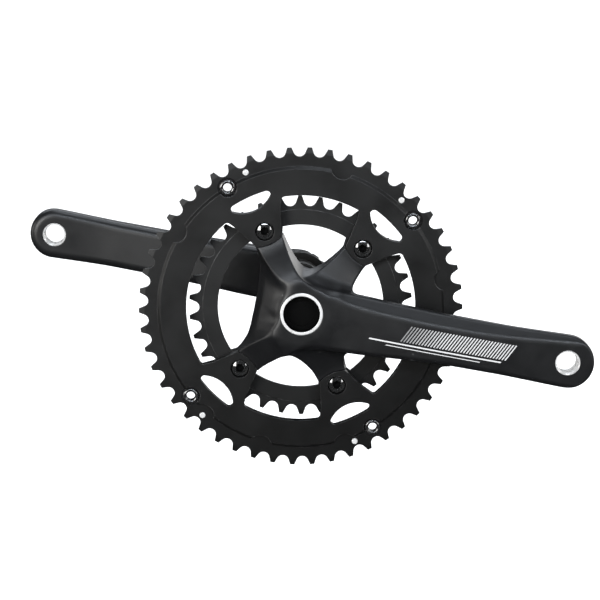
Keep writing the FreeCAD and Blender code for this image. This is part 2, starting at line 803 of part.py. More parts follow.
def clamp(body):
    """The slot through the tail, the two clamp bolt holes and their head recesses."""
    sketch = new_sketch(body, "slot_outline", "XZ_Plane")
    near, far = "spindle_radius - overrun", "tail_end + overrun"
    outline(sketch, [(near, "-clamp_gap_half"), (far, "-clamp_gap_half"),
                     (far, "clamp_gap_half"), (near, "clamp_gap_half")])
    pocket(body, "slot", sketch)
    sketch = new_sketch(body, "clamp_hole_circles", "XY_Plane")
    for place in ("inner_clamp_bolt", "outer_clamp_bolt"):
        circle(sketch, "clamp_bolt_place", place, "clamp_hole")
    pocket(body, "clamp_holes", sketch)
    for name, place, way in (("upper", "inner_clamp_bolt", 1), ("lower", "outer_clamp_bolt", -1)):
        sketch = new_sketch(body, name + "_recess_circle", "XY_Plane", f"{way} * clamp_head_seat")
        circle(sketch, "clamp_bolt_place", place, "clamp_head_recess")
        pocket(body, name + "_recess", sketch, "left_hub_radius", Reversed=way > 0)


def clamp_bolts():
    """Two socket screws that close the slot, one from above and one from below."""
    body = new_body("clamp_bolts", turns_with_crank=True)
    for name, place, way in (("upper", "inner_clamp_bolt", 1), ("lower", "outer_clamp_bolt", -1)):
        sketch = new_sketch(body, name + "_shank_circle", "XY_Plane", f"-{way} * clamp_end")
        circle(sketch, "clamp_bolt_place", place, "clamp_bolt_radius")
        pad(body, name + "_shank", sketch, "clamp_head_seat + clamp_end", Reversed=way < 0)
        sketch = new_sketch(body, name + "_head_circle", "XY_Plane", f"{way} * clamp_head_seat")
        circle(sketch, "clamp_bolt_place", place, "clamp_head_radius")
        pad(body, name + "_head", sketch, "clamp_head_height", Reversed=way < 0)
        top = f"{way} * (clamp_head_seat + clamp_head_height)"
        sketch = new_sketch(body, name + "_socket_outline", "XY_Plane", top)
        hexagon(sketch, "clamp_bolt_place", place, "clamp_socket")
        pocket(body, name + "_socket", sketch, "clamp_socket_depth", Reversed=way < 0)


def hexagon(sketch, across, up, radius):
    outline(sketch, [(f"{across} + ({radius}) * cos({60 * i})", f"{up} + ({radius}) * sin({60 * i})")
                     for i in range(6)])


def preload_cap():
    """Screws into the spindle and pushes the left arm along the splines."""
    body = new_body("preload_cap", turns_with_crank=True)
    turned(body, "cap", [
        ("cap_hollow", "cap_seat - cap_length"),
        ("cap_thread_radius - gap", "cap_seat - cap_length"),
        ("cap_thread_radius - gap", "cap_seat"),
        ("cap_flange_radius", "cap_seat"),
        ("cap_flange_radius", "cap_seat + cap_flange - cap_bevel"),
        ("cap_flange_radius - cap_bevel", "cap_seat + cap_flange"),
        ("cap_hollow", "cap_seat + cap_flange"),
    ])
    sketch = new_sketch(body, "tool_notch_circle", "XZ_Plane", "-cap_seat - cap_flange")
    circle(sketch, "cap_hollow", "0", "cap_notch")
    notch = pocket(body, "tool_notch", sketch, "cap_notch_length", Reversed=True)
    around_spindle(body, "tool_notches", notch, "cap_notch_count")


def stopper_plate():
    """Swings in the clamp slot about the inner bolt; its pin stops the arm sliding off."""
    body = new_body("stopper_plate", turns_with_crank=True)
    sketch = new_sketch(body, "plate_outline", "XY_Plane")
    outline(sketch, [("plate_near", "plate_inner"), ("plate_far - plate_corner", "plate_inner"),
                     ("plate_far", "plate_inner + plate_corner"), ("plate_far", "plate_outer"),
                     ("plate_near", "plate_outer")])
    circle(sketch, "clamp_bolt_place", "inner_clamp_bolt", "clamp_hole")
    pad(body, "plate", sketch, "plate_half * 2", Midplane=True)
    root = "plate_near + plate_pin_root"
    sketch = new_sketch(body, "pin_circle", "YZ_Plane", root)
    circle(sketch, "plate_pin_place", "0", "plate_pin_radius")
    pad(body, "pin", sketch, f"{root} - plate_pin_reach", Reversed=True)


# ---------------------------------------------------------------- chainrings
def cut_teeth(body, teeth, middle):
    """Cut the roller seats: an arc on the pitch circle opening to the tips at a steady slope."""
    pitch_radius = f"(pitch / 2 / sin(180 / {teeth}))"
    sketch = new_sketch(body, "tooth_space_outline", "XZ_Plane", f"{middle} + overrun")
    seat_side = "seat_radius * sin(seat_angle)"
    seat_out = f"{pitch_radius} - seat_radius * cos(seat_angle)"
    climb = "tooth_height + seat_radius * cos(seat_angle) + overrun"
    mouth_side = f"{seat_side} + ({climb}) / tan(seat_angle)"
    mouth_out = f"{seat_out} + {climb}"
    outline(sketch, [(seat_out, f"{seat_side}"),
                     (mouth_out, f"{mouth_side}"),
                     (mouth_out, f"-({mouth_side})"),
                     (seat_out, f"-({seat_side})", "-seat_radius"),
                     (f"{pitch_radius} - seat_radius", "0", "-seat_radius")])
    space = pocket(body, "tooth_space", sketch, "overrun * 2")
    around_spindle(body, "tooth_spaces", space, teeth)


def outer_chainring():
    body = new_body("outer_chainring", turns_with_crank=True)
    tip = "(pitch / 2 / sin(180 / outer_teeth) + tooth_height)"
    front, back = "-outer_tooth_middle - tooth_half", "-outer_tooth_middle + tooth_half"
    turned(body, "blank", [
        ("outer_band_inner", "-outer_band_front"),
        ("outer_band_edge", "-outer_band_front"),
        ("outer_band_edge + outer_band_slope", front),
        (f"{tip} - tip_bevel", front),
        (tip, "-outer_tooth_middle - tip_half"),
        (tip, "-outer_tooth_middle + tip_half"),
        (f"{tip} - tip_bevel", back),
        ("outer_band_edge", back),
        ("outer_band_edge - outer_band_bevel", "-outer_band_back"),
        ("channel_outer", "-outer_band_back"),
        ("channel_outer", "-channel_floor"),
        ("channel_inner", "-channel_floor"),
        ("channel_inner", "-outer_band_back"),
        ("outer_band_inner", "-outer_band_back"),
    ])
    tabs = new_sketch(body, "tab_outlines", "XZ_Plane", "spider_tab_front")
    leaves = new_sketch(body, "leaf_outlines", "XZ_Plane", "spider_tab_front")
    holes = new_sketch(body, "bolt_circles", "XZ_Plane")
    recesses = new_sketch(body, "recess_circles", "XZ_Plane", "outer_band_front")
    root = "outer_band_inner + outer_tab_overlap"
    for turn in on_four_spokes("bolt_turn"):
        outline(tabs, [along("outer_tab_end", "-outer_tab_end_half", turn),
                       along("outer_tab_middle", "-outer_tab_middle_half", turn),
                       along(root, "-outer_tab_root_half", turn),
                       along(root, "outer_tab_root_half", turn),
                       along("outer_tab_middle", "outer_tab_middle_half", turn),
                       along("outer_tab_end", "outer_tab_end_half", turn) + ("seam_bow",)])
        # a leaf-shaped window between the bolt and the toothed band
        crest = "sqrt(leaf_outer * leaf_outer - leaf_side * leaf_side)"
        outline(leaves, [along(crest, "-leaf_side", turn) + ("leaf_outer",),
                         along(crest, "leaf_side", turn) + ("leaf_corner",),
                         along("leaf_waist", "leaf_half", turn) + ("leaf_bow",),
                         along("leaf_waist", "-leaf_half", turn) + ("leaf_corner",)])
        circle(holes, *along("bolt_circle", "0", turn), "bolt_clear")
        circle(recesses, *along("bolt_circle", "0", turn), "bolt_recess")
    merged = pad(body, "tabs", tabs, "outer_band_front - spider_tab_front")
    band = SIZES["outer_band_inner"]
    fillet(body, "tab_roots", merged, "root_round", corner_edge(band - 0.1, band + 0.1))
    pocket(body, "leaf_windows", leaves)
    pocket(body, "bolt_recesses", recesses, "outer_band_front - bolt_seat")
    pocket(body, "bolt_holes", holes)
    shift_cuts(body)
    cut_teeth(body, "outer_teeth", "outer_tooth_middle")


def shift_cuts(body):
    """Scallops and holes for the rivets, the shift pins and the catch pin."""
    scallops = new_sketch(body, "scallop_circles", "XZ_Plane", "outer_band_front")
    for turn in on_four_spokes("rivet_turn"):
        circle(scallops, *along("rivet_circle", "0", turn), "scallop_radius")
    for place in ("first", "second", "third", "fourth", "fifth", "sixth"):
        circle(scallops, *along("ramp_circle", "0", f"{place}_ramp"), "ramp_radius")
    pocket(body, "scallops", scallops, "outer_band_front - outer_tooth_middle - tooth_half")
    holes = new_sketch(body, "pin_circles", "XZ_Plane")
    for kind in ("rivet", "pin"):
        for turn in on_four_spokes(f"{kind}_turn"):
            circle(holes, *along(f"{kind}_circle", "0", turn), f"{kind}_radius")
    circle(holes, "catch_circle", "0", "catch_radius")
    pocket(body, "pin_holes", holes)


def inner_chainring():
    body = new_body("inner_chainring", turns_with_crank=True)
    tip = "(pitch / 2 / sin(180 / inner_teeth) + tooth_height + inner_tip_rise)"
    front, back = "-inner_tooth_middle - inner_tooth_half", "-inner_tooth_middle + inner_tooth_half"
    turned(body, "blank", [
        ("inner_band_inner", "-spider_back"),
        ("inner_band_edge", "-spider_back"),
        ("inner_band_edge", front),
        (f"{tip} - tip_bevel", front),
        (tip, "-inner_tooth_middle - tip_half"),
        (tip, "-inner_tooth_middle + tip_half"),
        (f"{tip} - tip_bevel", back),
        ("inner_band_edge", back),
        ("inner_band_edge", "-inner_band_back"),
        ("inner_band_inner", "-inner_band_back"),
    ])
    tabs = new_sketch(body, "tab_outlines", "XZ_Plane", "inner_band_back")
    holes = new_sketch(body, "bolt_circles", "XZ_Plane")
    root = "inner_band_inner + inner_tab_overlap"
    for turn in on_four_spokes("bolt_turn"):
        outline(tabs, [along("inner_tab_end", "-inner_tab_end_half", turn),
                       along(root, "-inner_tab_root_half", turn),
                       along(root, "inner_tab_root_half", turn),
                       along("inner_tab_end", "inner_tab_end_half", turn)])
        circle(holes, *along("bolt_circle", "0", turn), "bolt_hole")
    pad(body, "tabs", tabs, "spider_back - inner_band_back")
    pocket(body, "bolt_holes", holes)
    cut_teeth(body, "inner_teeth", "inner_tooth_middle")


def chainring_bolts():
    """Four bolts, each with a wide flat head, a dished mouth and a blind hexagon socket."""
    body = new_body("chainring_bolts", turns_with_crank=True)
    heads = new_sketch(body, "head_circles", "XZ_Plane", "bolt_seat")
    shanks = new_sketch(body, "shank_circles", "XZ_Plane", "bolt_end")
    sockets = new_sketch(body, "socket_outlines", "XZ_Plane", "bolt_head_front")
    mouths = new_sketch(body, "mouth_circles", "XZ_Plane", "bolt_head_front")
    for turn in on_four_spokes("bolt_turn"):
        spot = along("bolt_circle", "0", turn)
        circle(heads, *spot, "bolt_head_radius")
        circle(mouths, *spot, "bolt_mouth")
        circle(shanks, *spot, "bolt_shank_radius")
        hexagon(sockets, *spot, "bolt_socket")
    pad(body, "heads", heads, "bolt_head_front - bolt_seat")
    dished = pocket(body, "mouths", mouths, "bolt_mouth_depth")
    front = -SIZES["bolt_head_front"]
    rim = chamfer(body, "rims", dished, SIZES["rim_bevel"],
                  round_edge(SIZES["bolt_head_radius"], front))
    chamfer(body, "mouth_cones", rim, SIZES["bolt_mouth_cone"],
            round_edge(SIZES["bolt_mouth"], front))
    pad(body, "shanks", shanks, "bolt_seat - bolt_end")
    pocket(body, "sockets", sockets, "bolt_socket_depth")


def chainring_nuts():
    """Four sleeve nuts behind the inner chainring, each with a screwdriver slot."""
    body = new_body("chainring_nuts", turns_with_crank=True)
    flanges = new_sketch(body, "flange_circles", "XZ_Plane", "inner_band_back - nut_flange")
    sleeves = new_sketch(body, "sleeve_circles", "XZ_Plane", "inner_band_back")
    bores = new_sketch(body, "bore_circles", "XZ_Plane")
    slot_floor = "inner_band_back - nut_flange + nut_slot_depth"
    slots = new_sketch(body, "slot_outlines", "XZ_Plane", slot_floor)
    near, far = "bolt_circle - nut_flange_radius - overrun", "bolt_circle + nut_flange_radius + overrun"
    for turn in on_four_spokes("bolt_turn"):
        spot = along("bolt_circle", "0", turn)
        circle(flanges, *spot, "nut_flange_radius")
        circle(sleeves, *spot, "nut_sleeve_radius")
        circle(bores, *spot, "nut_bore")
        outline(slots, [along(near, "-nut_slot_half", turn), along(far, "-nut_slot_half", turn),
                        along(far, "nut_slot_half", turn), along(near, "nut_slot_half", turn)])
    pad(body, "flanges", flanges, "nut_flange")
    pad(body, "sleeves", sleeves, "nut_sleeve_end - inner_band_back")
    pocket(body, "bores", bores)
    pocket(body, "slots", slots, "overrun")


def shift_rivets():
    """Four hollow rivets with a flared mouth, set in the scallops of the outer chainring."""
    body = new_body("shift_rivets", turns_with_crank=True)
    tails = new_sketch(body, "tail_circles", "XZ_Plane", "rivet_back")
    shanks = new_sketch(body, "shank_circles", "XZ_Plane", "rivet_back")
    heads = new_sketch(body, "head_circles", "XZ_Plane", "outer_tooth_middle + tooth_half")
    bores = new_sketch(body, "bore_circles", "XZ_Plane")
    for turn in on_four_spokes("rivet_turn"):
        spot = along("rivet_circle", "0", turn)
        circle(tails, *spot, "rivet_tail_radius")
        circle(shanks, *spot, "rivet_radius - gap")
        circle(heads, *spot, "rivet_head_radius")
        circle(bores, *spot, "rivet_bore")
    pad(body, "shanks", shanks, "rivet_front - rivet_back")
    pad(body, "tails", tails, "outer_band_back - rivet_back")
    pad(body, "heads", heads, "rivet_front - outer_tooth_middle - tooth_half")
    hollow = pocket(body, "bores", bores)
    chamfer(body, "flared_mouths", hollow, SIZES["rivet_flare"],
            round_edge(SIZES["rivet_bore"], -SIZES["rivet_front"]))


def shift_pins():
    """Four solid pins that lift the chain: a shank in the ring and a head behind it."""
    body = new_body("shift_pins", turns_with_crank=True)
    shanks = new_sketch(body, "shank_circles", "XZ_Plane", "pin_back")
    tails = new_sketch(body, "tail_circles", "XZ_Plane", "pin_back")
    for turn in on_four_spokes("pin_turn"):
        circle(shanks, *along("pin_circle", "0", turn), "pin_radius - gap")
        circle(tails, *along("pin_circle", "0", turn), "pin_tail_radius")
    shank = pad(body, "shanks", shanks, "pin_front - pin_back")
    chamfer(body, "pin_bevels", shank, SIZES["pin_bevel"],
            round_edge(SIZES["pin_radius"] - SIZES["gap"], -SIZES["pin_front"]))
    pad(body, "tails", tails, "outer_tooth_middle - tooth_half - pin_back")


def chain_catch_pin():
    """Keeps a dropped chain from jamming between the arm and the outer chainring."""
    body = new_body("chain_catch_pin", turns_with_crank=True)
    sketch = new_sketch(body, "pin_circle", "XZ_Plane", "outer_band_back")
    circle(sketch, "catch_circle", "0", "catch_radius - gap")
    pad(body, "pin", sketch, "catch_front - outer_band_back")
    sketch = new_sketch(body, "head_circle", "XZ_Plane", "outer_band_front")
    circle(sketch, "catch_circle", "0", "collar_radius")
    pad(body, "collar", sketch, "collar_height")


# ---------------------------------------------------------------- assembly
for word, side in (("right", -1), ("left", 1)):
    bearing_cup(f"{word}_bearing_cup", side)
    race(f"{word}_outer_race", side, inner=False)
    race(f"{word}_inner_race", side, inner=True)
    bearing_seals(f"{word}_bearing_seals", side)
    ball_cage(f"{word}_ball_cage", side)
    balls(f"{word}_bearing_balls", side)
    dust_sleeve(f"{word}_dust_sleeve", side)
shell_tube()
tube_seals()
spindle()
spindle_plug()
right_crank_arm()
left_crank_arm()
clamp_bolts()
preload_cap()
stopper_plate()
outer_chainring()
inner_chainring()
chainring_bolts()
chainring_nuts()
shift_rivets()
shift_pins()
chain_catch_pin()
doc.recompute()

# ---------------------------------------------------------------- checks and export
for item in doc.Objects:
    if "Invalid" in item.State or "Error" in item.State:
        raise RuntimeError(f"{item.Label} did not compute: {item.State}")
pieces = [item for item in doc.Objects
          if item.TypeId in ("PartDesign::Body", "Part::Compound")]
for piece in pieces:
    if piece.Shape.isNull() or not piece.Shape.isValid():
        raise RuntimeError(f"{piece.Label} has no valid shape")
os.makedirs("parts", exist_ok=True)
for piece in pieces:
    piece.Shape.exportStep(f"parts/{piece.Label}.step")
    print(piece.Label, len(piece.Shape.Solids), round(piece.Shape.Volume / 1000, 2))
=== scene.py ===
import json
import math

import bpy
import numpy as np
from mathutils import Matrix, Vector


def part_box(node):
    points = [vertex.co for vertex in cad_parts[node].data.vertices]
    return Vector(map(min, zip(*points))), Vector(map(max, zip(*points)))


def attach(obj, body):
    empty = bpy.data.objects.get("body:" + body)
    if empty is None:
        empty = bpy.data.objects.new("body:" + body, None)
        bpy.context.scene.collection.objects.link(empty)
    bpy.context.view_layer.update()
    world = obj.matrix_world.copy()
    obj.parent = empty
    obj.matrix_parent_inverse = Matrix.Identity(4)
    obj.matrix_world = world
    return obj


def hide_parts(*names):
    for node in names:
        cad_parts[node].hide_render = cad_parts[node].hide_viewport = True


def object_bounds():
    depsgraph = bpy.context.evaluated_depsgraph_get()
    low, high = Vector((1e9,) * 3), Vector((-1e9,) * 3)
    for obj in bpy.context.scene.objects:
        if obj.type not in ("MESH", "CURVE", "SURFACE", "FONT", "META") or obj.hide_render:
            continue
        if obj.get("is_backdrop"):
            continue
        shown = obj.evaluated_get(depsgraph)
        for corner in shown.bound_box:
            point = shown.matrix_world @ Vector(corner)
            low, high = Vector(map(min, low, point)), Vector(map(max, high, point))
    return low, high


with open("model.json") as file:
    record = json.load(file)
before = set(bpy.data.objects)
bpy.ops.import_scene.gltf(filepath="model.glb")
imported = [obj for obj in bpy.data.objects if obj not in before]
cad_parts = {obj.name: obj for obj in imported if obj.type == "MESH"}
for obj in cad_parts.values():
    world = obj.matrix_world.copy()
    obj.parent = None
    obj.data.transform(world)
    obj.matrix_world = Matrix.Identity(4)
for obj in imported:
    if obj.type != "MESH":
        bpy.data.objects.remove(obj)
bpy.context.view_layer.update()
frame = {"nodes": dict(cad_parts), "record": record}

MM = 0.001
scene = bpy.context.scene

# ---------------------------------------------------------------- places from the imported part
# Sizes are in millimetres unless a comment says otherwise. Along runs from the spindle to the
# pedal, depth outward from the bicycle's centre plane, and up across the arm.
mounts = {mount["name"]: mount for mount in frame["record"]["mounts"]}
PEDAL = Vector(mounts["right_pedal_thread"]["pos_m"])
CRANK_LENGTH = math.hypot(PEDAL.x, PEDAL.z) / MM
TURN = math.atan2(-PEDAL.z, PEDAL.x)
ARM_LOW, ARM_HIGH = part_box("right_crank_arm")
PEDAL_FACE = -ARM_LOW.y / MM
SPIDER_BACK = -ARM_HIGH.y / MM
SPINDLE_LOW, SPINDLE_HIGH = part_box("spindle")
HUB_FACE = -SPINDLE_LOW.y / MM
PRESS_RADIUS = (SPINDLE_HIGH.z - SPINDLE_LOW.z) / 2 / MM
LEFT_HUB_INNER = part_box("left_crank_arm")[0].y / MM
PEDAL_BACK = 60.0
BOLT_TURN, BOLT_CIRCLE = 55.0, 55.0
RIVET_TURN, RIVET_CIRCLE = 49.0, 90.5
GRID = 0.5


# ---------------------------------------------------------------- smooth solids from distance fields
# A field takes along, depth and up and is negative inside the solid. An edge or join size is the
# width over which two of its surfaces blend.
CURVE_SAMPLES = 7
CURVE_TAPER = 0.8


def smooth_max(a, b, blend):
    near = np.maximum(blend - np.abs(a - b), 0) / blend
    return np.maximum(a, b) + near * near * (blend / 4)


def smooth_min(a, b, blend):
    return -smooth_max(-a, -b, blend)


def curve(value, knots, blur):
    """A smooth curve near the knots: their straight stretches averaged over the blur width."""
    xs, ys = zip(*knots)
    offsets = np.linspace(-1, 1, CURVE_SAMPLES)
    weights = 1 - (offsets * CURVE_TAPER) ** 2
    total = sum(w * np.interp(value + s * blur, xs, ys) for s, w in zip(offsets, weights))
    return total / weights.sum()


# Depths of the front and back along the arms, half-heights, and the crest between front and facet.
FRONT = [(0, 65.0), (15, 65.6), (30, 66.9), (55, 69.4), (80, 71.4), (110, 72.7), (135, 73.0), (200, 73.0)]
RIGHT_BACK = [(0, 50), (30, 51.0), (60, 53.6), (85, 55.9), (112, 57.8), (140, 59.8), (152, 60), (200, 60)]
LEFT_BACK = [(0, 47.4), (30, 47.8), (60, 50.5), (85, 53.6), (112, 56.8), (140, 59.6), (152, 60), (200, 60)]
HALF = [(0, 17.6), (35, 17.2), (60, 16.3), (90, 15.7), (130, 15.7), (155, 16.5), (170, 17), (200, 17)]
LOW_HALF = [(0, 20.4), (35, 20.2), (55, 18.6), (75, 16.8), (95, 15.8), (130, 15.7), (155, 16.5),
            (170, 17), (200, 17)]
CREASE = [(-10, 19), (5, 15.6), (20, 12.6), (34, 10.4), (50, 9.2), (80, 8.2), (110, 8.4), (130, 9.3),
          (160, 12), (180, 14.0), (200, 17)]
LONG_BLUR, CREASE_BLUR = 9, 7
CROWN = 0.0022
FACET_UP, FACET_OUT = 0.59, 0.807
BEVEL_UP, BEVEL_OUT, BEVEL_HEIGHT = 0.72, 0.69, 2.4
FRONT_EDGE, FACET_EDGE, BEVEL_EDGE, BACK_EDGE = 1.8, 1.5, 0.9, 6.0
ROOT_OVERLAP, ROOT_EDGE = 4, 5.0
PEDAL_HOLE, PEDAL_HOLE_EDGE = 7.15, 0.3
MOUTH_DEPTH, MOUTH_FLARE = 0.9, 1.2


def blade(along, depth, up, back_knots, low_knots):
    """The long part of an arm: crowned front, a wide facet on the leading edge, round pedal end."""
    front = curve(along, FRONT, LONG_BLUR) - CROWN * up * up
    back = curve(along, back_knots, LONG_BLUR)
    beyond = np.maximum(along - CRANK_LENGTH, 0)
    half = np.where(up > 0, curve(along, HALF, LONG_BLUR), curve(along, low_knots, LONG_BLUR))
    side = np.sqrt(up * up + beyond * beyond) - half
    out = depth - front
    solid = smooth_max(side, out, FRONT_EDGE)
    facet = FACET_UP * (up - curve(along, CREASE, CREASE_BLUR)) + FACET_OUT * out
    solid = smooth_max(solid, facet, FACET_EDGE)
    bevel = BEVEL_UP * (-up - half + BEVEL_HEIGHT) + BEVEL_OUT * out
    solid = smooth_max(solid, bevel, BEVEL_EDGE)
    solid = smooth_max(solid, back - depth, BACK_EDGE)
    return smooth_max(solid, -along - ROOT_OVERLAP, ROOT_EDGE)


def with_pedal_hole(solid, along, depth, up):
    """Cut the pedal eye, flared at both mouths, out of a solid."""
    away = np.sqrt((along - CRANK_LENGTH) ** 2 + up * up)
    mouth = np.maximum(depth - (PEDAL_FACE - MOUTH_DEPTH), PEDAL_BACK + MOUTH_DEPTH - depth)
    hole = PEDAL_HOLE + np.clip(mouth, 0, MOUTH_FLARE) - away
    return smooth_max(solid, hole, PEDAL_HOLE_EDGE)


# Fronts of the spider arms, their half-widths, and how their sides spread and soften, all by the
# distance out from the spindle axis.
REAR_FRONT = [(5, 65.6), (18, 65.3), (25, 62.8), (31, 59.4), (37, 55.6), (42, 52.2), (47, 50.0), (55, 50.0)]
BLADE_FRONT = [(5, 60.0), (16, 58.6), (24, 56.2), (32, 53.6), (39, 51.5), (45, 50.1), (55, 50.0)]
REAR_SIDE = [(5, 0.0), (14, 1.0), (23, 3.4), (32, 5.9), (40, 7.6), (47, 8.7), (55, 8.9)]
UPPER_INNER = [(5, 12.0), (15, 10.4), (26, 8.0), (36, 7.8), (46, 8.8), (55, 9.0)]
LOWER_INNER = [(5, 16.0), (18, 13.6), (30, 11.4), (40, 9.6), (47, 9.0), (55, 9.0)]
UPPER_HALF = [(5, 12.6), (20, 11.6), (30, 9.9), (40, 8.9), (55, 9.0)]
LOWER_HALF = [(5, 16.0), (20, 14.6), (30, 12.4), (40, 10.2), (55, 9.2)]
BLADE_SIDE = [(5, 20.0), (20, 17.0), (30, 13.4), (38, 10.8), (46, 9.2), (55, 9.0)]
REAR_SLOPE = [(5, 1.0), (16, 0.95), (26, 0.7), (36, 0.36), (46, 0.16), (55, 0.16)]
EVEN_SLOPE = [(5, 0.02), (55, 0.02)]
REAR_EDGE = [(8, 9.0), (16, 7.0), (23, 2.6), (28, 1.1), (55, 1.1)]
CRISP_EDGE = [(5, 1.3), (55, 1.3)]
# turn from the blade in degrees; front; half-widths away from the blade and towards it; spread and
# edge of the side away from the blade; width of the join to the hub
SPOKES = ((125, REAR_FRONT, REAR_SIDE, UPPER_INNER, REAR_SLOPE, REAR_EDGE, 5.0),
          (235, REAR_FRONT, REAR_SIDE, LOWER_INNER, REAR_SLOPE, REAR_EDGE, 5.0),
          (55, BLADE_FRONT, UPPER_HALF, BLADE_SIDE, EVEN_SLOPE, CRISP_EDGE, 6.0),
          (305, BLADE_FRONT, LOWER_HALF, BLADE_SIDE, EVEN_SLOPE, CRISP_EDGE, 13.0))
SPOKE_BLUR = 3
SPOKE_CROWN = 0.004
INNER_SLOPE, INNER_EDGE = 0.16, 1.3
SPOKE_START, SPOKE_START_EDGE = 6, 3.0
SPOKE_BACK_EDGE = 1.2
# the tabs of the outer ring meet the spider arms along bows, as a radius and its nearest point
SEAM_BOW, SEAM_PLACE, SEAM_EDGE = 23.75, 46.38, 0.8
PAST_SEAM = 9
TAB_HALF, TAB_FRONT, TAB_START, TAB_EDGE = 8.5, 43.38, 40, 0.5
TAB_LIFT = 0.02


def spoke_axes(turn, along, up):
    """Distance out along a spoke and distance across it, positive on the side of the blade."""
    blade_side = -1 if turn < 180 else 1
    turn = math.radians(turn)
    out = along * math.cos(turn) + up * math.sin(turn)
    return out, (up * math.cos(turn) - along * math.sin(turn)) * blade_side


def spoke(out, across, depth, front_knots, away_knots, blade_knots, slope_knots, edge_knots):
    """A thick spider arm that ends in a hollow bow where the chainring's tab begins."""
    front = curve(out, front_knots, SPOKE_BLUR) - SPOKE_CROWN * across ** 2
    toward = across - curve(out, blade_knots, SPOKE_BLUR) - INNER_SLOPE * (front - depth)
    slope = curve(out, slope_knots, SPOKE_BLUR)
    away = -across - curve(out, away_knots, SPOKE_BLUR) - slope * (front - depth)
    away = away / np.sqrt(1 + slope * slope)
    edge = curve(out, edge_knots, SPOKE_BLUR)
    solid = smooth_max(toward, smooth_max(away, depth - front, edge), INNER_EDGE)
    centre = SEAM_PLACE + SEAM_BOW
    bow = SEAM_BOW - np.sqrt((out - centre) ** 2 + across ** 2)
    solid = smooth_max(solid, np.where(out > centre, PAST_SEAM, bow), SEAM_EDGE)
    solid = smooth_max(solid, SPIDER_BACK - depth, SPOKE_BACK_EDGE)
    return smooth_max(solid, SPOKE_START - out, SPOKE_START_EDGE)


def spider_tab(out, across, depth):
    """The thin tab behind a spider arm that both chainrings are bolted to."""
    round_end = np.sqrt(across ** 2 + np.maximum(out - BOLT_CIRCLE, 0) ** 2) - TAB_HALF
    tab = smooth_max(round_end, depth - TAB_FRONT, TAB_EDGE)
    tab = smooth_max(tab, SPIDER_BACK + TAB_LIFT - depth, TAB_EDGE)
    return smooth_max(tab, TAB_START - out, TAB_EDGE)


# The hub narrows outward in depth, and its lower side sags a little towards the back.
HUB_FLARE = [(44, 26.4), (48, 26.2), (50, 25.4), (53, 23.4), (56, 21.3), (59, 19.0), (62, 16.6), (67, 13.8)]
FLARE_BLUR, FLARE_SCALE = 1.5, 0.8
HUB_SAG, SAG_FRONT, SAG_FADE = 1.8, 58, 8
HUB_RECESS, HUB_NOSE_EDGE = 0.5, 4.5
HUB_BACK, HUB_BACK_EDGE = 43.6, 2.0
BLADE_JOIN = 8.0
JOIN_LEVEL, JOIN_EDGE = 0.3, 1.4
PRESS_GAP, BOLT_HOLE = 0.02, 5.0
CUP_ROOM_RADIUS, CUP_ROOM_FRONT = 24.5, 46.4
HOLE_EDGE, ROOM_EDGE = 0.5, 0.8


def right_arm_field(along, depth, up):
    away = np.sqrt(along * along + up * up)
    sag = np.clip((SAG_FRONT - depth) / SAG_FADE, 0, 1) * HUB_SAG
    base = np.sqrt(along * along + (up + sag) ** 2)
    flare = (base - curve(depth, HUB_FLARE, FLARE_BLUR)) * FLARE_SCALE
    hub = smooth_max(flare, depth - (HUB_FACE - HUB_RECESS), HUB_NOSE_EDGE)
    hub = smooth_max(hub, HUB_BACK - depth, HUB_BACK_EDGE)
    solid = smooth_min(hub, blade(along, depth, up, RIGHT_BACK, LOW_HALF), BLADE_JOIN)
    holes = PRESS_RADIUS + PRESS_GAP - away
    tabs = []
    for turn, *shape, softness in SPOKES:
        out, across = spoke_axes(turn, along, up)
        solid = smooth_min(solid, spoke(out, across, depth, *shape), softness)
        tabs.append(spider_tab(out, across, depth))
        holes = np.maximum(holes, BOLT_HOLE - np.sqrt((out - BOLT_CIRCLE) ** 2 + across ** 2))
    # keep the soft joins level with the front of the blade and the hub
    solid = smooth_max(solid, depth - curve(along, FRONT, LONG_BLUR) - JOIN_LEVEL, JOIN_EDGE)
    solid = smooth_max(solid, SPIDER_BACK - depth, ROOM_EDGE)
    for tab in tabs:
        solid = np.minimum(solid, tab)
    solid = smooth_max(solid, holes, HOLE_EDGE)
    cup_room = -np.maximum(away - CUP_ROOM_RADIUS, depth - CUP_ROOM_FRONT)
    return with_pedal_hole(smooth_max(solid, cup_room, ROOM_EDGE), along, depth, up)


# The left arm's hub, its split clamp on the side away from the blade, and the two clamp bolts.
LEFT_HUB_RADIUS, LEFT_HUB_FACE = 18.4, 65.0
LEFT_NOSE_EDGE, LEFT_INNER_EDGE = 3.0, 2.0
TAIL_HALF, TAIL_TAPER, TAIL_END, TAIL_END_EDGE = 15.2, 0.1, -28.0, 5.0
TAIL_MIDDLE, TAIL_THICK, TAIL_FACE_EDGE = 55.6, 8.6, 2.4
TAIL_ROOT, TAIL_ROOT_EDGE = 4, 2.0
TAIL_JOIN, LEFT_BLADE_JOIN = 3.0, 6.0
SPLINE_BORE, CAP_RECESS, CAP_SEAT, RECESS_EDGE = 12.05, 14.2, 62.0, 0.3
SLOT_SIZE, SLOT_ROOT = 2.0, 8
CLAMP_PLACE = -19.5
INNER_CLAMP, OUTER_CLAMP = 51.0, 60.0
CLAMP_HOLE, CLAMP_HEAD, CLAMP_SEAT = 2.55, 4.4, 8


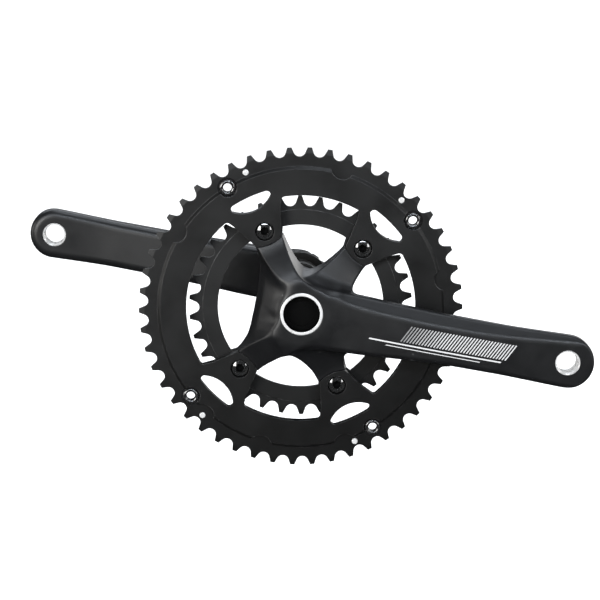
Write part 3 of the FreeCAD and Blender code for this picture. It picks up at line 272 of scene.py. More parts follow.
def left_arm_field(along, depth, up):
    away = np.sqrt(along * along + up * up)
    hub = smooth_max(away - LEFT_HUB_RADIUS, depth - LEFT_HUB_FACE, LEFT_NOSE_EDGE)
    hub = smooth_max(hub, LEFT_HUB_INNER - depth, LEFT_INNER_EDGE)
    tail_half = TAIL_HALF + along * TAIL_TAPER
    tail = smooth_max(np.abs(up) - tail_half, TAIL_END - along, TAIL_END_EDGE)
    tail = smooth_max(tail, np.abs(depth - TAIL_MIDDLE) - TAIL_THICK, TAIL_FACE_EDGE)
    tail = smooth_max(tail, along - TAIL_ROOT, TAIL_ROOT_EDGE)
    solid = smooth_min(hub, tail, TAIL_JOIN)
    solid = smooth_min(solid, blade(along, depth, up, LEFT_BACK, HALF), LEFT_BLADE_JOIN)
    bore = smooth_min(away - SPLINE_BORE, np.maximum(away - CAP_RECESS, CAP_SEAT - depth), RECESS_EDGE)
    slot = np.maximum(np.abs(up) - SLOT_SIZE / 2, along + SLOT_ROOT)
    for place, head in ((INNER_CLAMP, -1), (OUTER_CLAMP, 1)):
        reach = np.sqrt((along - CLAMP_PLACE) ** 2 + (depth - place) ** 2)
        screw = np.minimum(reach - CLAMP_HOLE, np.maximum(reach - CLAMP_HEAD, CLAMP_SEAT - head * up))
        slot = np.minimum(slot, screw)
    solid = smooth_max(solid, -bore, HOLE_EDGE)
    solid = smooth_max(solid, -slot, HOLE_EDGE)
    return with_pedal_hole(solid, along, depth, up)


# ---------------------------------------------------------------- surfaces of the fields
NEWTON_ROUNDS = 2
SLOPE_PROBE = 0.08
LEAST_SLOPE_SQUARED = 0.05


def cell_points(values, cells, low, step):
    """One point per cell that the surface crosses: the mean of its edge crossings."""
    corners = np.array([(a, b, c) for a in (0, 1) for b in (0, 1) for c in (0, 1)])
    at = [values[cells[:, 0] + a, cells[:, 1] + b, cells[:, 2] + c] for a, b, c in corners]
    total = np.zeros((len(cells), 3))
    count = np.zeros(len(cells))
    for i in range(8):
        for j in range(i + 1, 8):
            if np.abs(corners[i] - corners[j]).sum() != 1:
                continue
            cross = (at[i] < 0) != (at[j] < 0)
            share = np.where(cross, at[i] / np.where(cross, at[i] - at[j], 1), 0)[:, None]
            total += np.where(cross[:, None], corners[i] + share * (corners[j] - corners[i]), 0)
            count += cross
    return low + (cells + total / count[:, None]) * step


def crossed_cells(inside):
    """Grid cells with corners on both sides of the surface."""
    base = inside[:-1, :-1, :-1]
    mixed = np.zeros(base.shape, bool)
    for a in (0, 1):
        for b in (0, 1):
            for c in (0, 1):
                ends = [slice(k, base.shape[i] + k) for i, k in enumerate((a, b, c))]
                mixed |= inside[tuple(ends)] != base
    return mixed


def quads_across(axis, inside, number):
    """A quad for each grid edge along the axis that the surface crosses, wound to face outward."""
    first, second = [i for i in range(3) if i != axis]
    change = np.argwhere(np.diff(inside.astype(np.int8), axis=axis) != 0)
    change = change[(change[:, first] > 0) & (change[:, second] > 0)]
    rising = inside[tuple(change.T)]
    ring = []
    for back_first, back_second in ((0, 0), (1, 0), (1, 1), (0, 1)):
        cell = change.copy()
        cell[:, first] -= back_first
        cell[:, second] -= back_second
        ring.append(number[tuple(cell.T)])
    ring = np.stack(ring, axis=1)
    flip = rising if axis == 1 else ~rising
    ring[flip] = ring[flip][:, ::-1]
    return ring


def gradient(field, points):
    slope = np.zeros_like(points)
    for i in range(3):
        shift = np.zeros(3)
        shift[i] = SLOPE_PROBE
        slope[:, i] = (field(*(points + shift).T) - field(*(points - shift).T)) / (2 * SLOPE_PROBE)
    return slope


def surface(field, low, high, step):
    """Quads of the zero surface of a field inside a box, with points moved onto the surface."""
    low = np.array(low, float)
    size = np.ceil((np.array(high) - low) / step).astype(int) + 1
    axes = [low[i] + step * np.arange(size[i]) for i in range(3)]
    values = field(axes[0][:, None, None], axes[1][None, :, None], axes[2][None, None, :])
    inside = values < 0
    mixed = crossed_cells(inside)
    cells = np.argwhere(mixed)
    number = np.full(mixed.shape, -1)
    number[mixed] = np.arange(len(cells))
    quads = np.concatenate([quads_across(axis, inside, number) for axis in range(3)])
    points = cell_points(values, cells, low, step)
    for _ in range(NEWTON_ROUNDS):
        slope = gradient(field, points)
        steepness = np.maximum((slope * slope).sum(1), LEAST_SLOPE_SQUARED)
        move = slope * (field(*points.T) / steepness)[:, None]
        points -= np.clip(move, -step / 2, step / 2)
    return points, quads, gradient(field, points)


# ---------------------------------------------------------------- meshes
CRISP_ANGLE = 38


def mesh_object(name, points, faces, normals=None):
    mesh = bpy.data.meshes.new(name)
    mesh.from_pydata(points.tolist(), [], faces.tolist())
    mesh.validate()
    mesh.polygons.foreach_set("use_smooth", [True] * len(mesh.polygons))
    if normals is not None:
        mesh.normals_split_custom_set_from_vertices(normals.tolist())
    mesh.update()
    made = bpy.data.objects.new(name, mesh)
    scene.collection.objects.link(made)
    return made


def turned_with_crank(points):
    """Arm-aligned (x, y, z) in millimetres to the row frame in metres."""
    x, y, z = points.T
    cos, sin = math.cos(TURN), math.sin(TURN)
    return np.stack([x * cos + z * sin, y, z * cos - x * sin], axis=1) * MM


def lathe(rings, steps, spots=((0.0, 0.0),), drive_side=True):
    """Points and quads of closed rings: each ring is (radius, depth), numbers or arrays over the
    angle, and the last ring joins the first.  One copy stands at each (x, z) spot."""
    angle = np.arange(steps) / steps * 2 * math.pi
    side = -1 if drive_side else 1
    loops = []
    for radius, depth in rings:
        radius, depth = np.broadcast_to(radius, steps), np.broadcast_to(depth, steps)
        loops.append(np.stack([radius * np.cos(angle), side * depth, radius * np.sin(angle)], axis=1))
    one = np.concatenate(loops)
    here = np.arange(steps)
    beside = (here + 1) % steps
    quads = []
    for i in range(len(rings)):
        a, b = i * steps, (i + 1) % len(rings) * steps
        quads.append(np.stack([a + here, b + here, b + beside, a + beside], axis=1))
    one_quads = np.concatenate(quads)
    if drive_side:
        one_quads = one_quads[:, ::-1]
    points = np.concatenate([one + (x, 0, z) for x, z in spots])
    faces = np.concatenate([one_quads + i * len(one) for i in range(len(spots))])
    return points, faces


def four_spots(turn, circle):
    """The four mirror-image spots at an angle from the blade, in the arm-aligned frame."""
    across, up = circle * math.cos(math.radians(turn)), circle * math.sin(math.radians(turn))
    return [(sx * across, sz * up) for sx in (1, -1) for sz in (1, -1)]


def arc(centre_radius, centre_depth, size, start, stop, count=8):
    """Ring profile points on an arc; 0 degrees points away from the axis, 90 outward in depth."""
    turns = [math.radians(start + (stop - start) * i / (count - 1)) for i in range(count)]
    return [(centre_radius + size * math.cos(t), centre_depth + size * math.sin(t)) for t in turns]


def crank_part(name, points, faces, material, slot, *nodes):
    """A piece that turns with the crank; edges past the crisp angle stay sharp in the shading."""
    made = mesh_object(name, turned_with_crank(points), faces)
    made.data.materials.append(material)
    made.data.set_sharp_from_angle(angle=math.radians(CRISP_ANGLE))
    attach(made, "crank")
    for node in nodes:
        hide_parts(node)
    return made


def arm(name, field, low, high, flips, node, material):
    """Build an arm from its field; flips turn along, depth and up into arm-aligned x, y, z."""
    points, quads, normals = surface(field, low, high, GRID)
    flips = np.array(flips, float)
    if flips.prod() < 0:
        quads = quads[:, ::-1]
    normals = turned_with_crank(normals * flips)
    normals /= np.maximum(np.linalg.norm(normals, axis=1), 1e-9)[:, None]
    made = mesh_object(name, turned_with_crank(points * flips), quads, normals)
    place = made.data.attributes.new("arm_place", "FLOAT_VECTOR", "POINT")
    place.data.foreach_set("vector", points.astype(np.float32).ravel())
    made.data.materials.append(material)
    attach(made, "crank")
    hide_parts(node)
    return made


# ---------------------------------------------------------------- material building
# The white surroundings aren't mirrored, so bare metal takes part of their light as diffuse.
METAL_SHARE = 0.5
NOISE_LOW, NOISE_HIGH, NOISE_ROUGHNESS = 0.3, 0.7, 0.55
PLAIN_SHINE = 0.5
BEVEL_SAMPLES = 6
# Cosines between the softened and the true normal, off the edges and on a sharp one.
FLAT_COSINE, EDGE_COSINE = 0.98, 0.75


class Shader:
    """A node material under construction; inputs are numbers, colours or other nodes' sockets.
    Noise scales are per metre, and bump distances and bevel radii are in metres."""

    def __init__(self, name):
        self.material = bpy.data.materials.new(name)
        self.material.use_nodes = True
        self.tree = self.material.node_tree
        self.surface = self.tree.nodes["Principled BSDF"]
        self.place = self.add("TexCoord").outputs["Object"]

    def add(self, kind, inputs=None, **settings):
        node = self.tree.nodes.new("ShaderNode" + kind)
        for key, setting in settings.items():
            setattr(node, key, setting)
        self.feed(node, inputs or {})
        return node

    def feed(self, node, inputs):
        for key, value in inputs.items():
            if isinstance(value, bpy.types.NodeSocket):
                self.tree.links.new(value, node.inputs[key])
            else:
                node.inputs[key].default_value = value

    def math(self, operation, *values):
        return self.add("Math", dict(enumerate(values)), operation=operation).outputs[0]

    def noise(self, scale, detail):
        inputs = {"Vector": self.place, "Scale": scale, "Detail": detail,
                  "Roughness": NOISE_ROUGHNESS}
        return self.add("TexNoise", inputs).outputs["Fac"]

    def lines(self, place, scale, detail):
        """Noise that changes along one direction only."""
        inputs = {"W": place, "Scale": scale, "Detail": detail}
        return self.add("TexNoise", inputs, noise_dimensions="1D").outputs["Fac"]

    def ramp(self, value, low, high, to_low=0.0, to_high=1.0):
        inputs = {"Value": value, "From Min": low, "From Max": high, "To Min": to_low, "To Max": to_high}
        return self.add("MapRange", inputs).outputs["Result"]

    def spread(self, noise, least, most):
        """The middle stretch of a noise, spread over a range."""
        return self.ramp(noise, NOISE_LOW, NOISE_HIGH, least, most)

    def choose(self, share, first, second):
        """A number: the first at share 0 and the second at share 1."""
        return self.ramp(share, 0, 1, first, second)

    def mix(self, share, first, second):
        """A colour: the first at share 0 and the second at share 1."""
        node = self.add("Mix", data_type="RGBA")
        self.feed(node, {0: share, 6: first, 7: second})
        return node.outputs[2]

    def both(self, *shares):
        """Near 1 where every share is."""
        product = shares[0]
        for share in shares[1:]:
            product = self.math("MULTIPLY", product, share)
        return product

    def between(self, value, low, high):
        return self.both(self.math("GREATER_THAN", value, low), self.math("LESS_THAN", value, high))

    def split(self, vector):
        return self.add("SeparateXYZ", {"Vector": vector}).outputs

    def length(self, first, second):
        squares = [self.math("MULTIPLY", side, side) for side in (first, second)]
        return self.math("SQRT", self.math("ADD", *squares))

    def softened(self, radius):
        return self.add("Bevel", {"Radius": radius}, samples=BEVEL_SAMPLES).outputs["Normal"]

    def edges(self, radius):
        """Near 1 along convex and concave edges within the radius, 0 on flat stretches."""
        hard = self.add("NewGeometry").outputs["Normal"]
        normals = {0: self.softened(radius), 1: hard}
        dot = self.add("VectorMath", normals, operation="DOT_PRODUCT").outputs["Value"]
        return self.ramp(dot, FLAT_COSINE, EDGE_COSINE)

    def rubbed(self, edges, share, scale, detail, least, most):
        """How far a finish is rubbed through along edges, broken up by a noise."""
        return self.both(edges, self.ramp(self.noise(scale, detail), least, most), share)

    def near_four_spots(self, turn, circle, reach):
        """1 within reach of the four mirror-image spots at an angle from the crank arm."""
        inputs = {"Vector": self.place, "Angle": -TURN}
        back = self.add("VectorRotate", inputs, rotation_type="Y_AXIS").outputs["Vector"]
        along, _, up = self.split(back)
        spot_along = circle * math.cos(math.radians(turn)) * MM
        spot_up = circle * math.sin(math.radians(turn)) * MM
        off_along = self.math("SUBTRACT", self.math("ABSOLUTE", along), spot_along)
        off_up = self.math("SUBTRACT", self.math("ABSOLUTE", up), spot_up)
        return self.math("LESS_THAN", self.length(off_along, off_up), reach * MM)

    def bump(self, height, distance, strength, radius=None):
        inputs = {"Height": height, "Distance": distance, "Strength": strength}
        if radius:
            inputs["Normal"] = self.softened(radius)
        self.feed(self.surface, {"Normal": self.add("Bump", inputs).outputs["Normal"]})

    def finish(self, **inputs):
        self.feed(self.surface, {key.replace("_", " "): value for key, value in inputs.items()})
        return self.material


def grey(level, tint=(1.0, 1.0, 1.0)):
    return (level * tint[0], level * tint[1], level * tint[2], 1.0)


# ---------------------------------------------------------------- the arms' finish
COOL, COOL_PALE = (0.95, 1.0, 1.15), (0.95, 1.0, 1.12)
# the marks stand on the outer face only; each is a stretch along and up the arm
MARK_FRONT, MARK_LEAN = 66, 0.5
STRIPE_START, STRIPE_STOP, STRIPE_BOTTOM, STRIPE_TOP = 66, 134, -5.4, 5.2
HATCH_PITCH, HATCH_SHARE = 1.9, 0.42
FADE_STOP, FADE_LEAST = 92, 0.35
RULES = ((48, 132, -7.6, -6.7), (60, 120, -9.6, -9.1))
MARK_LEVEL, MARK_COVER = 0.52, 0.9


def arm_marks(s):
    """1 on the marks: a stripe of fine slanted lines, with two plain rules under it."""
    along, depth, up = s.split(s.add("Attribute", attribute_name="arm_place").outputs["Vector"])
    lean = s.math("SUBTRACT", along, s.math("MULTIPLY", up, MARK_LEAN))
    outer = s.math("GREATER_THAN", depth, MARK_FRONT)
    hatch = s.math("LESS_THAN", s.math("FRACT", s.math("DIVIDE", lean, HATCH_PITCH)), HATCH_SHARE)
    marks = s.both(hatch, outer, s.between(lean, STRIPE_START, STRIPE_STOP),
                   s.between(up, STRIPE_BOTTOM, STRIPE_TOP),
                   s.ramp(lean, STRIPE_START, FADE_STOP, FADE_LEAST, 1.0))
    for start, stop, bottom, top in RULES:
        rule = s.both(outer, s.between(lean, start, stop), s.between(up, bottom, top))
        marks = s.math("MAXIMUM", marks, rule)
    return marks


def arm_finish():
    """Satin black anodising with a blasted grain, rubbed edges and plain marks."""
    s = Shader("arm_anodised")
    grain = s.noise(scale=5200, detail=2)
    mottle = s.noise(scale=38, detail=4)
    black, bare = s.mix(mottle, grey(0.0040, COOL), grey(0.0062, COOL_PALE)), grey(0.16)
    crests = s.ramp(s.add("NewGeometry").outputs["Pointiness"], 0.53, 0.60)
    rub = s.rubbed(crests, share=0.5, scale=260, detail=5, least=0.45, most=0.7)
    colour = s.mix(s.math("MULTIPLY", arm_marks(s), MARK_COVER), s.mix(rub, black, bare), grey(MARK_LEVEL))
    rough = s.spread(s.noise(scale=75, detail=5), 0.34, 0.46)
    rough = s.math("ADD", rough, s.spread(grain, -0.04, 0.04))
    s.bump(grain, distance=0.00002, strength=0.35)
    return s.finish(Base_Color=colour, Roughness=rough, Metallic=0.0, Specular_IOR_Level=0.55)


# ---------------------------------------------------------------- the other finishes
WARM, WARM_BLACK = (1.0, 0.99, 0.97), (1.0, 0.99, 0.94)
SCALLOP_REACH, SCALLOP_BACK = 6.4, 49.9
SCALLOP_ROUGH, SCALLOP_LEVEL = 0.13, 0.008
# Painted shade: the rings' finish is made duller towards their lower right, standing in for darker
# surroundings mirrored there; the duller part turns with them. Heights are in metres, leaning with the
# distance to the right.
SHADE_LEAN, SHADE_LOW, SHADE_HIGH, SHADED_SHINE = 0.4, -0.11, 0.02, 0.2
# painted shade inside the chainring bolts' hexagon sockets: near-black, rough and dull
SOCKET_REACH, SOCKET_SHADE_LEVEL, SOCKET_ROUGH, SOCKET_SHINE = 2.75, 0.003, 0.7, 0.05
# painted shade inside the spindle's open end
BORE_RADIUS, BORE_START = 11.8, 0.5
BORE_SHADE_LEVEL, BORE_ROUGH, BORE_SHINE = 0.002, 0.8, 0.08


def ring_finish(name, level, rough_low, rough_high, scallops=False):
    """Matt black anodising over turned aluminium, rubbed bright in places along the edges."""
    s = Shader(name)
    x, y, z = s.split(s.place)
    turned = s.lines(s.length(x, z), scale=9000, detail=2)
    grain = s.noise(scale=4200, detail=2)
    mottle = s.noise(scale=30, detail=4)
    black, bare = s.mix(mottle, grey(level * 0.75), grey(level * 1.3, WARM_BLACK)), grey(0.26)
    rub = s.rubbed(s.edges(radius=0.0005), share=0.5, scale=180, detail=5, least=0.42, most=0.66)
    colour = s.mix(rub, black, bare)
    rough = s.spread(s.noise(scale=55, detail=5), rough_low, rough_high)
    if scallops:
        dish = s.near_four_spots(RIVET_TURN, RIVET_CIRCLE, SCALLOP_REACH)
        dish = s.both(dish, s.math("GREATER_THAN", y, -SCALLOP_BACK * MM))
        rough = s.choose(dish, rough, SCALLOP_ROUGH)
        colour = s.mix(dish, colour, grey(SCALLOP_LEVEL))
    height = s.math("ADD", s.math("MULTIPLY", turned, 0.5), s.math("MULTIPLY", grain, 0.5))
    s.bump(height, distance=0.00002, strength=0.4, radius=0.0006)
    # painted shade: weaker reflections towards the rings' lower right
    place = s.math("SUBTRACT", z, s.math("MULTIPLY", x, SHADE_LEAN))
    shine = s.ramp(place, SHADE_LOW, SHADE_HIGH, SHADED_SHINE, PLAIN_SHINE)
    return s.finish(Base_Color=colour, Roughness=rough, Metallic=0.0, Specular_IOR_Level=shine)


def gloss_black(name, sockets=False):
    """Polished black over steel, with painted shade inside the hexagon sockets of the chainring bolts:
    dull, rough and uncoated there.
    """
    s = Shader(name)
    mottle = s.noise(scale=400, detail=4)
    black, bare = grey(0.014), grey(0.3)
    rub = s.rubbed(s.edges(radius=0.0003), share=0.35, scale=900, detail=4, least=0.45, most=0.65)
    colour = s.mix(rub, black, bare)
    rough = s.spread(mottle, 0.1, 0.2)
    s.bump(mottle, distance=0.00002, strength=0.2, radius=0.0004)
    coat = 1.0
    if sockets:
        # painted shade: the bolts' hexagon sockets are made near-black, rough and uncoated
        hole = s.near_four_spots(BOLT_TURN, BOLT_CIRCLE, SOCKET_REACH)
        colour = s.mix(hole, colour, grey(SOCKET_SHADE_LEVEL))
        rough = s.choose(hole, rough, SOCKET_ROUGH)
        coat = s.math("SUBTRACT", 1, hole)
        s.finish(Specular_IOR_Level=s.choose(hole, PLAIN_SHINE, SOCKET_SHINE))
    return s.finish(Base_Color=colour, Roughness=rough, Coat_Weight=coat, Coat_Roughness=0.05, Coat_IOR=2.2)


def steel(name, level, rough, lines=6000, shaded_bore=False):
    """Ground steel with fine lines running round the spindle axis. A shaded bore has painted shade,
    dull black inside the spindle's open end."""
    s = Shader(name)
    x, y, z = s.split(s.place)
    turned = s.lines(y, scale=lines, detail=3)
    smear = s.noise(scale=140, detail=5)
    colour = s.mix(smear, grey(level * 0.9, WARM), grey(level))
    roughness = s.spread(smear, rough * 0.8, rough * 1.3)
    roughness = s.math("ADD", roughness, s.math("MULTIPLY", turned, 0.06))
    s.bump(turned, distance=0.00001, strength=0.4, radius=0.0004)
    metal, shine = METAL_SHARE, PLAIN_SHINE
    # painted shade: the inside of the spindle's open end is made dull black
    if shaded_bore:
        inside = s.both(s.math("LESS_THAN", s.length(x, z), BORE_RADIUS * MM),
                        s.math("GREATER_THAN", y, (BORE_START - HUB_FACE) * MM))
        colour = s.mix(inside, colour, grey(BORE_SHADE_LEVEL))
        roughness = s.choose(inside, roughness, BORE_ROUGH)
        metal = s.choose(inside, METAL_SHARE, 0.0)
        shine = s.choose(inside, PLAIN_SHINE, BORE_SHINE)
    return s.finish(Base_Color=colour, Roughness=roughness, Metallic=metal, Specular_IOR_Level=shine)


def plastic(name, colour, rough, shine=PLAIN_SHINE):
    s = Shader(name)
    grain = s.noise(scale=3000, detail=3)
    mottle = s.noise(scale=120, detail=4)
    dark = tuple(c * 0.75 for c in colour[:3]) + (1.0,)
    s.bump(grain, distance=0.00003, strength=0.35, radius=0.0004)
    return s.finish(Base_Color=s.mix(mottle, dark, colour), Specular_IOR_Level=shine,
                    Roughness=s.spread(mottle, rough - 0.06, rough + 0.08))


def bare_metal(name, dark, pale, rough_low, rough_high, smear_scale, grain_scale, soft):
    """Unfinished metal with smears between a dark and a pale colour."""
    s = Shader(name)
    smear = s.noise(scale=smear_scale, detail=5)
    s.bump(s.noise(scale=grain_scale, detail=2), distance=0.00002, strength=0.3, radius=soft)
    return s.finish(Base_Color=s.mix(smear, dark, pale), Metallic=METAL_SHARE,
                    Roughness=s.spread(smear, rough_low, rough_high))


def dress(node, material):
    target = frame["nodes"][node].data
    target.materials.clear()
    target.materials.append(material)


# ---------------------------------------------------------------- turned small parts
# A ring next to the axis closes the end of a turned piece.
AXIS = 0.02
BOLT_STEPS, RIVET_STEPS, THREAD_STEPS = 96, 72, 96
THREAD_PITCH, THREAD_DEPTH, PITCH_SAMPLES = 1.27, 0.5, 8
CREST_HEIGHT, CREST_SLOPE, CREST_ROUNDING = 1.15, 2.6, 0.85


def hexagon_radius(across_corners, steps):
    angle = np.arange(steps) / steps * 2 * math.pi
    return across_corners * math.cos(math.pi / 6) / np.cos(angle % (math.pi / 3) - math.pi / 6)


def chainring_bolts(material):
    """Domed bolts with a countersunk blind hexagon."""
    low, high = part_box("chainring_bolts")
    front, end = -low.y / MM, -high.y / MM
    tip, shank, head_back, head, mouth = 3.6, 3.98, 5.1, 5.4, 2.5
    chamfer, head_height, head_edge = 0.4, 1.3, 0.1
    dome, dome_height, dome_start, dome_stop = 13.6, 0.3, 66.6, 78.3
    hexagon = hexagon_radius(2.4, BOLT_STEPS)
    drill = hexagon * 0.85
    mouth_depth, hexagon_start, hexagon_stop, drill_depth, floor_depth = 0.5, 0.7, 3.6, 3.9, 4.1
    under_head = front - head_height
    rings = [(AXIS, end), (tip, end), (shank, end + chamfer), (shank, under_head)]
    rings += [(head_back, under_head), (head, under_head + head_edge)]
    rings += arc(0, front + dome_height - dome, dome, dome_start, dome_stop)
    rings += [(mouth, front - mouth_depth), (hexagon, front - hexagon_start)]
    rings += [(hexagon, front - hexagon_stop), (drill, front - drill_depth), (AXIS, front - floor_depth)]
    points, faces = lathe(rings, BOLT_STEPS, four_spots(BOLT_TURN, BOLT_CIRCLE))
    return crank_part("chainring_socket_bolts", points, faces, material, "bolt_black", "chainring_bolts")


def hollow_rivets(material):
    """Rivets with a rolled lip round a wide bore, standing in the scallops of the outer ring."""
    low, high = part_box("shift_rivets")
    front, end = -low.y / MM, -high.y / MM
    back_flange, back_thick, shank, flange, bore = 3.9, 0.8, 3.28, 5.0, 2.7
    lip, lip_radius, lip_lift, bevel, bevel_height = 3.85, 1.15, 0.4, 0.1, 0.2
    bore_edge, flare, flare_depth = 0.4, 0.3, 0.4
    floor = front - lip_lift - lip_radius
    rings = [(back_flange, end), (back_flange, end + back_thick), (shank, end + back_thick), (shank, floor)]
    rings += [(flange - bevel, floor), (flange, floor + bevel_height)]
    rings += arc(lip, floor + lip_lift, lip_radius, 0, 90)
    rings += arc(lip, floor + lip_lift, lip_radius, 100, 175)
    rings += [(bore, floor - bore_edge), (bore, end + flare_depth), (bore + flare, end)]
    points, faces = lathe(rings, RIVET_STEPS, four_spots(RIVET_TURN, RIVET_CIRCLE))
    return crank_part("rolled_rivets", points, faces, material, "bolt_black", "shift_rivets")


def thread_crest(position, angle):
    """0 at the root and 1 at the crest of a rounded screw thread."""
    turn = (position / THREAD_PITCH - angle / (2 * math.pi)) % 1.0
    return np.clip(CREST_HEIGHT - np.abs(turn - 0.5) * CREST_SLOPE, 0, 1) ** CREST_ROUNDING


def pedal_threads(name, spot, drive_side, material):
    """A bare aluminium liner in the pedal eye: screw thread between two bevelled mouths."""
    root, outside, mouth, rim = 7.05, 7.25, 7.75, 7.9
    mouth_lift, rim_depth, bevel_depth, thread_start, skirt = 0.01, 0.05, 0.75, 1.1, 0.3
    start, stop = PEDAL_BACK + thread_start, PEDAL_FACE - thread_start
    count = int((stop - start) / THREAD_PITCH * PITCH_SAMPLES)
    angle = np.arange(THREAD_STEPS) / THREAD_STEPS * 2 * math.pi
    rings = [(outside, stop), (outside, stop + skirt), (rim, PEDAL_FACE - rim_depth)]
    rings += [(mouth, PEDAL_FACE + mouth_lift), (root, PEDAL_FACE - bevel_depth)]
    for i in range(count + 1):
        position = stop - (stop - start) * i / count
        fade = min(1, i / PITCH_SAMPLES, (count - i) / PITCH_SAMPLES)
        rings.append((root - THREAD_DEPTH * thread_crest(position, angle) * fade, position))
    rings += [(root, PEDAL_BACK + bevel_depth), (mouth, PEDAL_BACK - mouth_lift)]
    rings += [(rim, PEDAL_BACK + rim_depth), (outside, start - skirt), (outside, start)]
    points, faces = lathe(rings, THREAD_STEPS, [spot], drive_side)
    return crank_part(name, points, faces[:, ::-1], material, "polished_steel")


# ---------------------------------------------------------------- pieces and their finishes
# room around an arm's surface: past the pedal end, in depth, and beside the spider or the blade
END_ROOM, DEPTH_ROOM = 19, 1.5
SPIDER_REACH, SPIDER_HALF = 47, 58
TAIL_REACH, BLADE_HALF = 30, 20.5
BRASS_DARK, BRASS_PALE = (0.42, 0.28, 0.09, 1), (0.72, 0.52, 0.22, 1)
PLASTIC_BLACK, TUBE_GREY = (0.016, 0.016, 0.017, 1), (0.16, 0.16, 0.17, 1)
STOPPER_RED = (0.35, 0.02, 0.015, 1)


def both_arms():
    finish = arm_finish()
    far = (CRANK_LENGTH + END_ROOM, PEDAL_FACE + DEPTH_ROOM)
    arm("right_arm_forging", right_arm_field, (-SPIDER_REACH, SPIDER_BACK - DEPTH_ROOM, -SPIDER_HALF),
        (*far, SPIDER_HALF), (1, -1, 1), "right_crank_arm", finish)
    arm("left_arm_forging", left_arm_field, (-TAIL_REACH, LEFT_HUB_INNER - DEPTH_ROOM, -BLADE_HALF),
        (*far, BLADE_HALF), (-1, 1, -1), "left_crank_arm", finish)


def crank_hardware():
    dress("outer_chainring", ring_finish("outer_ring_anodised", 0.0042, 0.38, 0.52, scallops=True))
    dress("inner_chainring", ring_finish("inner_ring_anodised", 0.0055, 0.45, 0.6))
    bolt_black = gloss_black("bolt_gloss")
    for node in ("chainring_bolts", "chainring_nuts", "clamp_bolts", "shift_rivets"):
        dress(node, bolt_black)
    chainring_bolts(gloss_black("bolt_gloss_shaded_sockets", sockets=True))
    hollow_rivets(bolt_black)
    aluminium = bare_metal("bare_aluminium", grey(0.50), grey(0.74, WARM), 0.2, 0.36,
                           smear_scale=500, grain_scale=3500, soft=0.0002)
    pedal_threads("right_pedal_thread_wall", (CRANK_LENGTH, 0), True, aluminium)
    pedal_threads("left_pedal_thread_wall", (-CRANK_LENGTH, 0), False, aluminium)
    dress("shift_pins", steel("pin_steel", 0.85, 0.16))
    dress("chain_catch_pin", steel("catch_pin_steel", 0.6, 0.2))
    dress("spindle", steel("spindle_ground_steel", 0.86, 0.26, shaded_bore=True))
    dress("spindle_plug", plastic("plug_black", grey(0.002), 0.8, shine=0.08))
    dress("stopper_plate", plastic("stopper_red", STOPPER_RED, 0.4))


def bearings():
    cup_black = ring_finish("cup_anodised", 0.012, 0.3, 0.42)
    race_steel = steel("race_steel", 0.7, 0.18, lines=9000)
    black_plastic = plastic("moulded_black", PLASTIC_BLACK, 0.45)
    rubber = plastic("seal_rubber", grey(0.012), 0.7)
    brass = bare_metal("cage_brass", BRASS_DARK, BRASS_PALE, 0.25, 0.42,
                       smear_scale=600, grain_scale=4000, soft=0.0003)
    for side in ("right", "left"):
        dress(f"{side}_bearing_cup", cup_black)
        dress(f"{side}_dust_sleeve", black_plastic)
        dress(f"{side}_outer_race", race_steel)
        dress(f"{side}_inner_race", race_steel)
        dress(f"{side}_bearing_balls", race_steel)
        dress(f"{side}_ball_cage", brass)
        dress(f"{side}_bearing_seals", rubber)
    dress("preload_cap", black_plastic)
    dress("shell_tube", plastic("tube_grey", TUBE_GREY, 0.42))
    dress("tube_seals", rubber)


# ---------------------------------------------------------------- floor, light and camera
# This section is in metres, apart from the two sizes in millimetres that set the floor's level.
ARM_END, FLOOR_GAP = 17.0, 4.0
FLOOR_FRONT, FLOOR_BACK, FLOOR_HALF, FLOOR_RISE, FLOOR_BEND = 12.0, 3.2, 12.0, 3.0, 1.0
BEND_STEPS = 12
PAPER_LOW, PAPER_HIGH, PAPER_ROUGH = 0.93, 0.96, 0.9
WORLD_STRENGTH = 0.95
# name, place, width and height, watts and colour; each is aimed at the spindle's middle
SOFTBOXES = (
    ("left_key", (-1.1, -1.62, 0.3), (0.8, 0.75), 19, (1.0, 0.99, 0.97)),
    ("right_key", (1.3, -1.8, 0.3), (0.55, 0.6), 6, (1, 1, 1)),
    ("left_side", (-2.1, -0.1, 0.25), (1.1, 0.9), 9, (1.0, 0.98, 0.95)),
    ("right_side", (2.0, 0.1, 0.9), (1.0, 0.8), 9, (1, 1, 1)),
    ("crest_strip", (0.1, -1.9, 1.1), (2.4, 0.16), 24, (0.84, 0.91, 1.0)),
    ("top", (0.2, 0.1, 1.8), (1.8, 0.7), 12, (0.86, 0.92, 1.0)),
    ("rear", (1.3, 1.4, 0.3), (1.4, 1.1), 15, (1, 1, 1)),
    ("rear_high", (-0.1, 1.6, 1.2), (2.2, 0.7), 14, (0.9, 0.94, 1.0)))
EYE = Vector((-0.0257, -1.2241, 0.2414))
AIM_FORWARD = 0.02
MARGIN = 1.06
NEAREST, FARTHEST = 0.05, 20


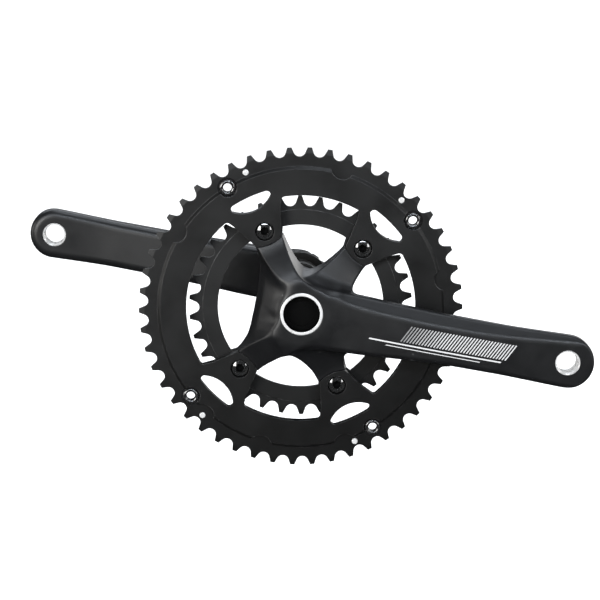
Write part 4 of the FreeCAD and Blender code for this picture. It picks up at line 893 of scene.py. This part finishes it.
def pale_floor():
    """A plain pale sweep, just below the circle that the arms' ends turn in, curving up behind."""
    level = -(CRANK_LENGTH + ARM_END + FLOOR_GAP) * MM
    profile = [(-FLOOR_FRONT, 0.0), (FLOOR_BACK - FLOOR_BEND, 0.0)]
    for i in range(1, BEND_STEPS + 1):
        turn = math.pi / 2 * i / BEND_STEPS
        profile.append((FLOOR_BACK - FLOOR_BEND * (1 - math.sin(turn)), FLOOR_BEND * (1 - math.cos(turn))))
    profile.append((FLOOR_BACK, FLOOR_RISE))
    points = [(side * FLOOR_HALF, y, level + z) for y, z in profile for side in (-1, 1)]
    faces = [(2 * i, 2 * i + 1, 2 * i + 3, 2 * i + 2) for i in range(len(profile) - 1)]
    floor = mesh_object("floor", np.array(points), np.array(faces))
    s = Shader("floor_paper")
    s.bump(s.noise(scale=900, detail=3), distance=0.00005, strength=0.2)
    colour = s.mix(s.noise(scale=3, detail=2), grey(PAPER_LOW), grey(PAPER_HIGH))
    floor.data.materials.append(s.finish(Base_Color=colour, Roughness=PAPER_ROUGH))
    floor.visible_glossy = False
    floor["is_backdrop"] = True


def aimed(made, place, aim):
    made.location = place
    made.rotation_mode = "QUATERNION"
    made.rotation_quaternion = (Vector(aim) - Vector(place)).to_track_quat("-Z", "Y")
    scene.collection.objects.link(made)


def softbox(name, place, size, power, colour):
    light = bpy.data.lights.new(name, "AREA")
    light.shape = "RECTANGLE"
    light.size, light.size_y = size
    light.energy = power
    light.color = colour
    aimed(bpy.data.objects.new(name, light), place, (0, 0, 0))


def studio():
    """White surroundings that the dark metal doesn't mirror, and softboxes that it does."""
    world = bpy.data.worlds.new("studio")
    world.use_nodes = True
    background = world.node_tree.nodes["Background"].inputs
    background["Color"].default_value = (1, 1, 1, 1)
    background["Strength"].default_value = WORLD_STRENGTH
    scene.world = world
    world.cycles_visibility.glossy = False
    for box in SOFTBOXES:
        softbox(*box)
    scene.view_settings.view_transform = "Standard"


def camera():
    """The photograph's viewpoint, aimed at the middle of the object."""
    low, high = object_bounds()
    middle = (low + high) / 2
    aim = Vector((middle.x, middle.y - AIM_FORWARD, middle.z))
    data = bpy.data.cameras.new("camera")
    half_width = (high.x - low.x) / 2 * MARGIN
    data.lens = data.sensor_width / 2 * (aim - EYE).length / half_width
    data.clip_start, data.clip_end = NEAREST, FARTHEST
    scene.camera = bpy.data.objects.new("camera", data)
    aimed(scene.camera, EYE, aim)


both_arms()
crank_hardware()
bearings()
studio()
pale_floor()
camera()
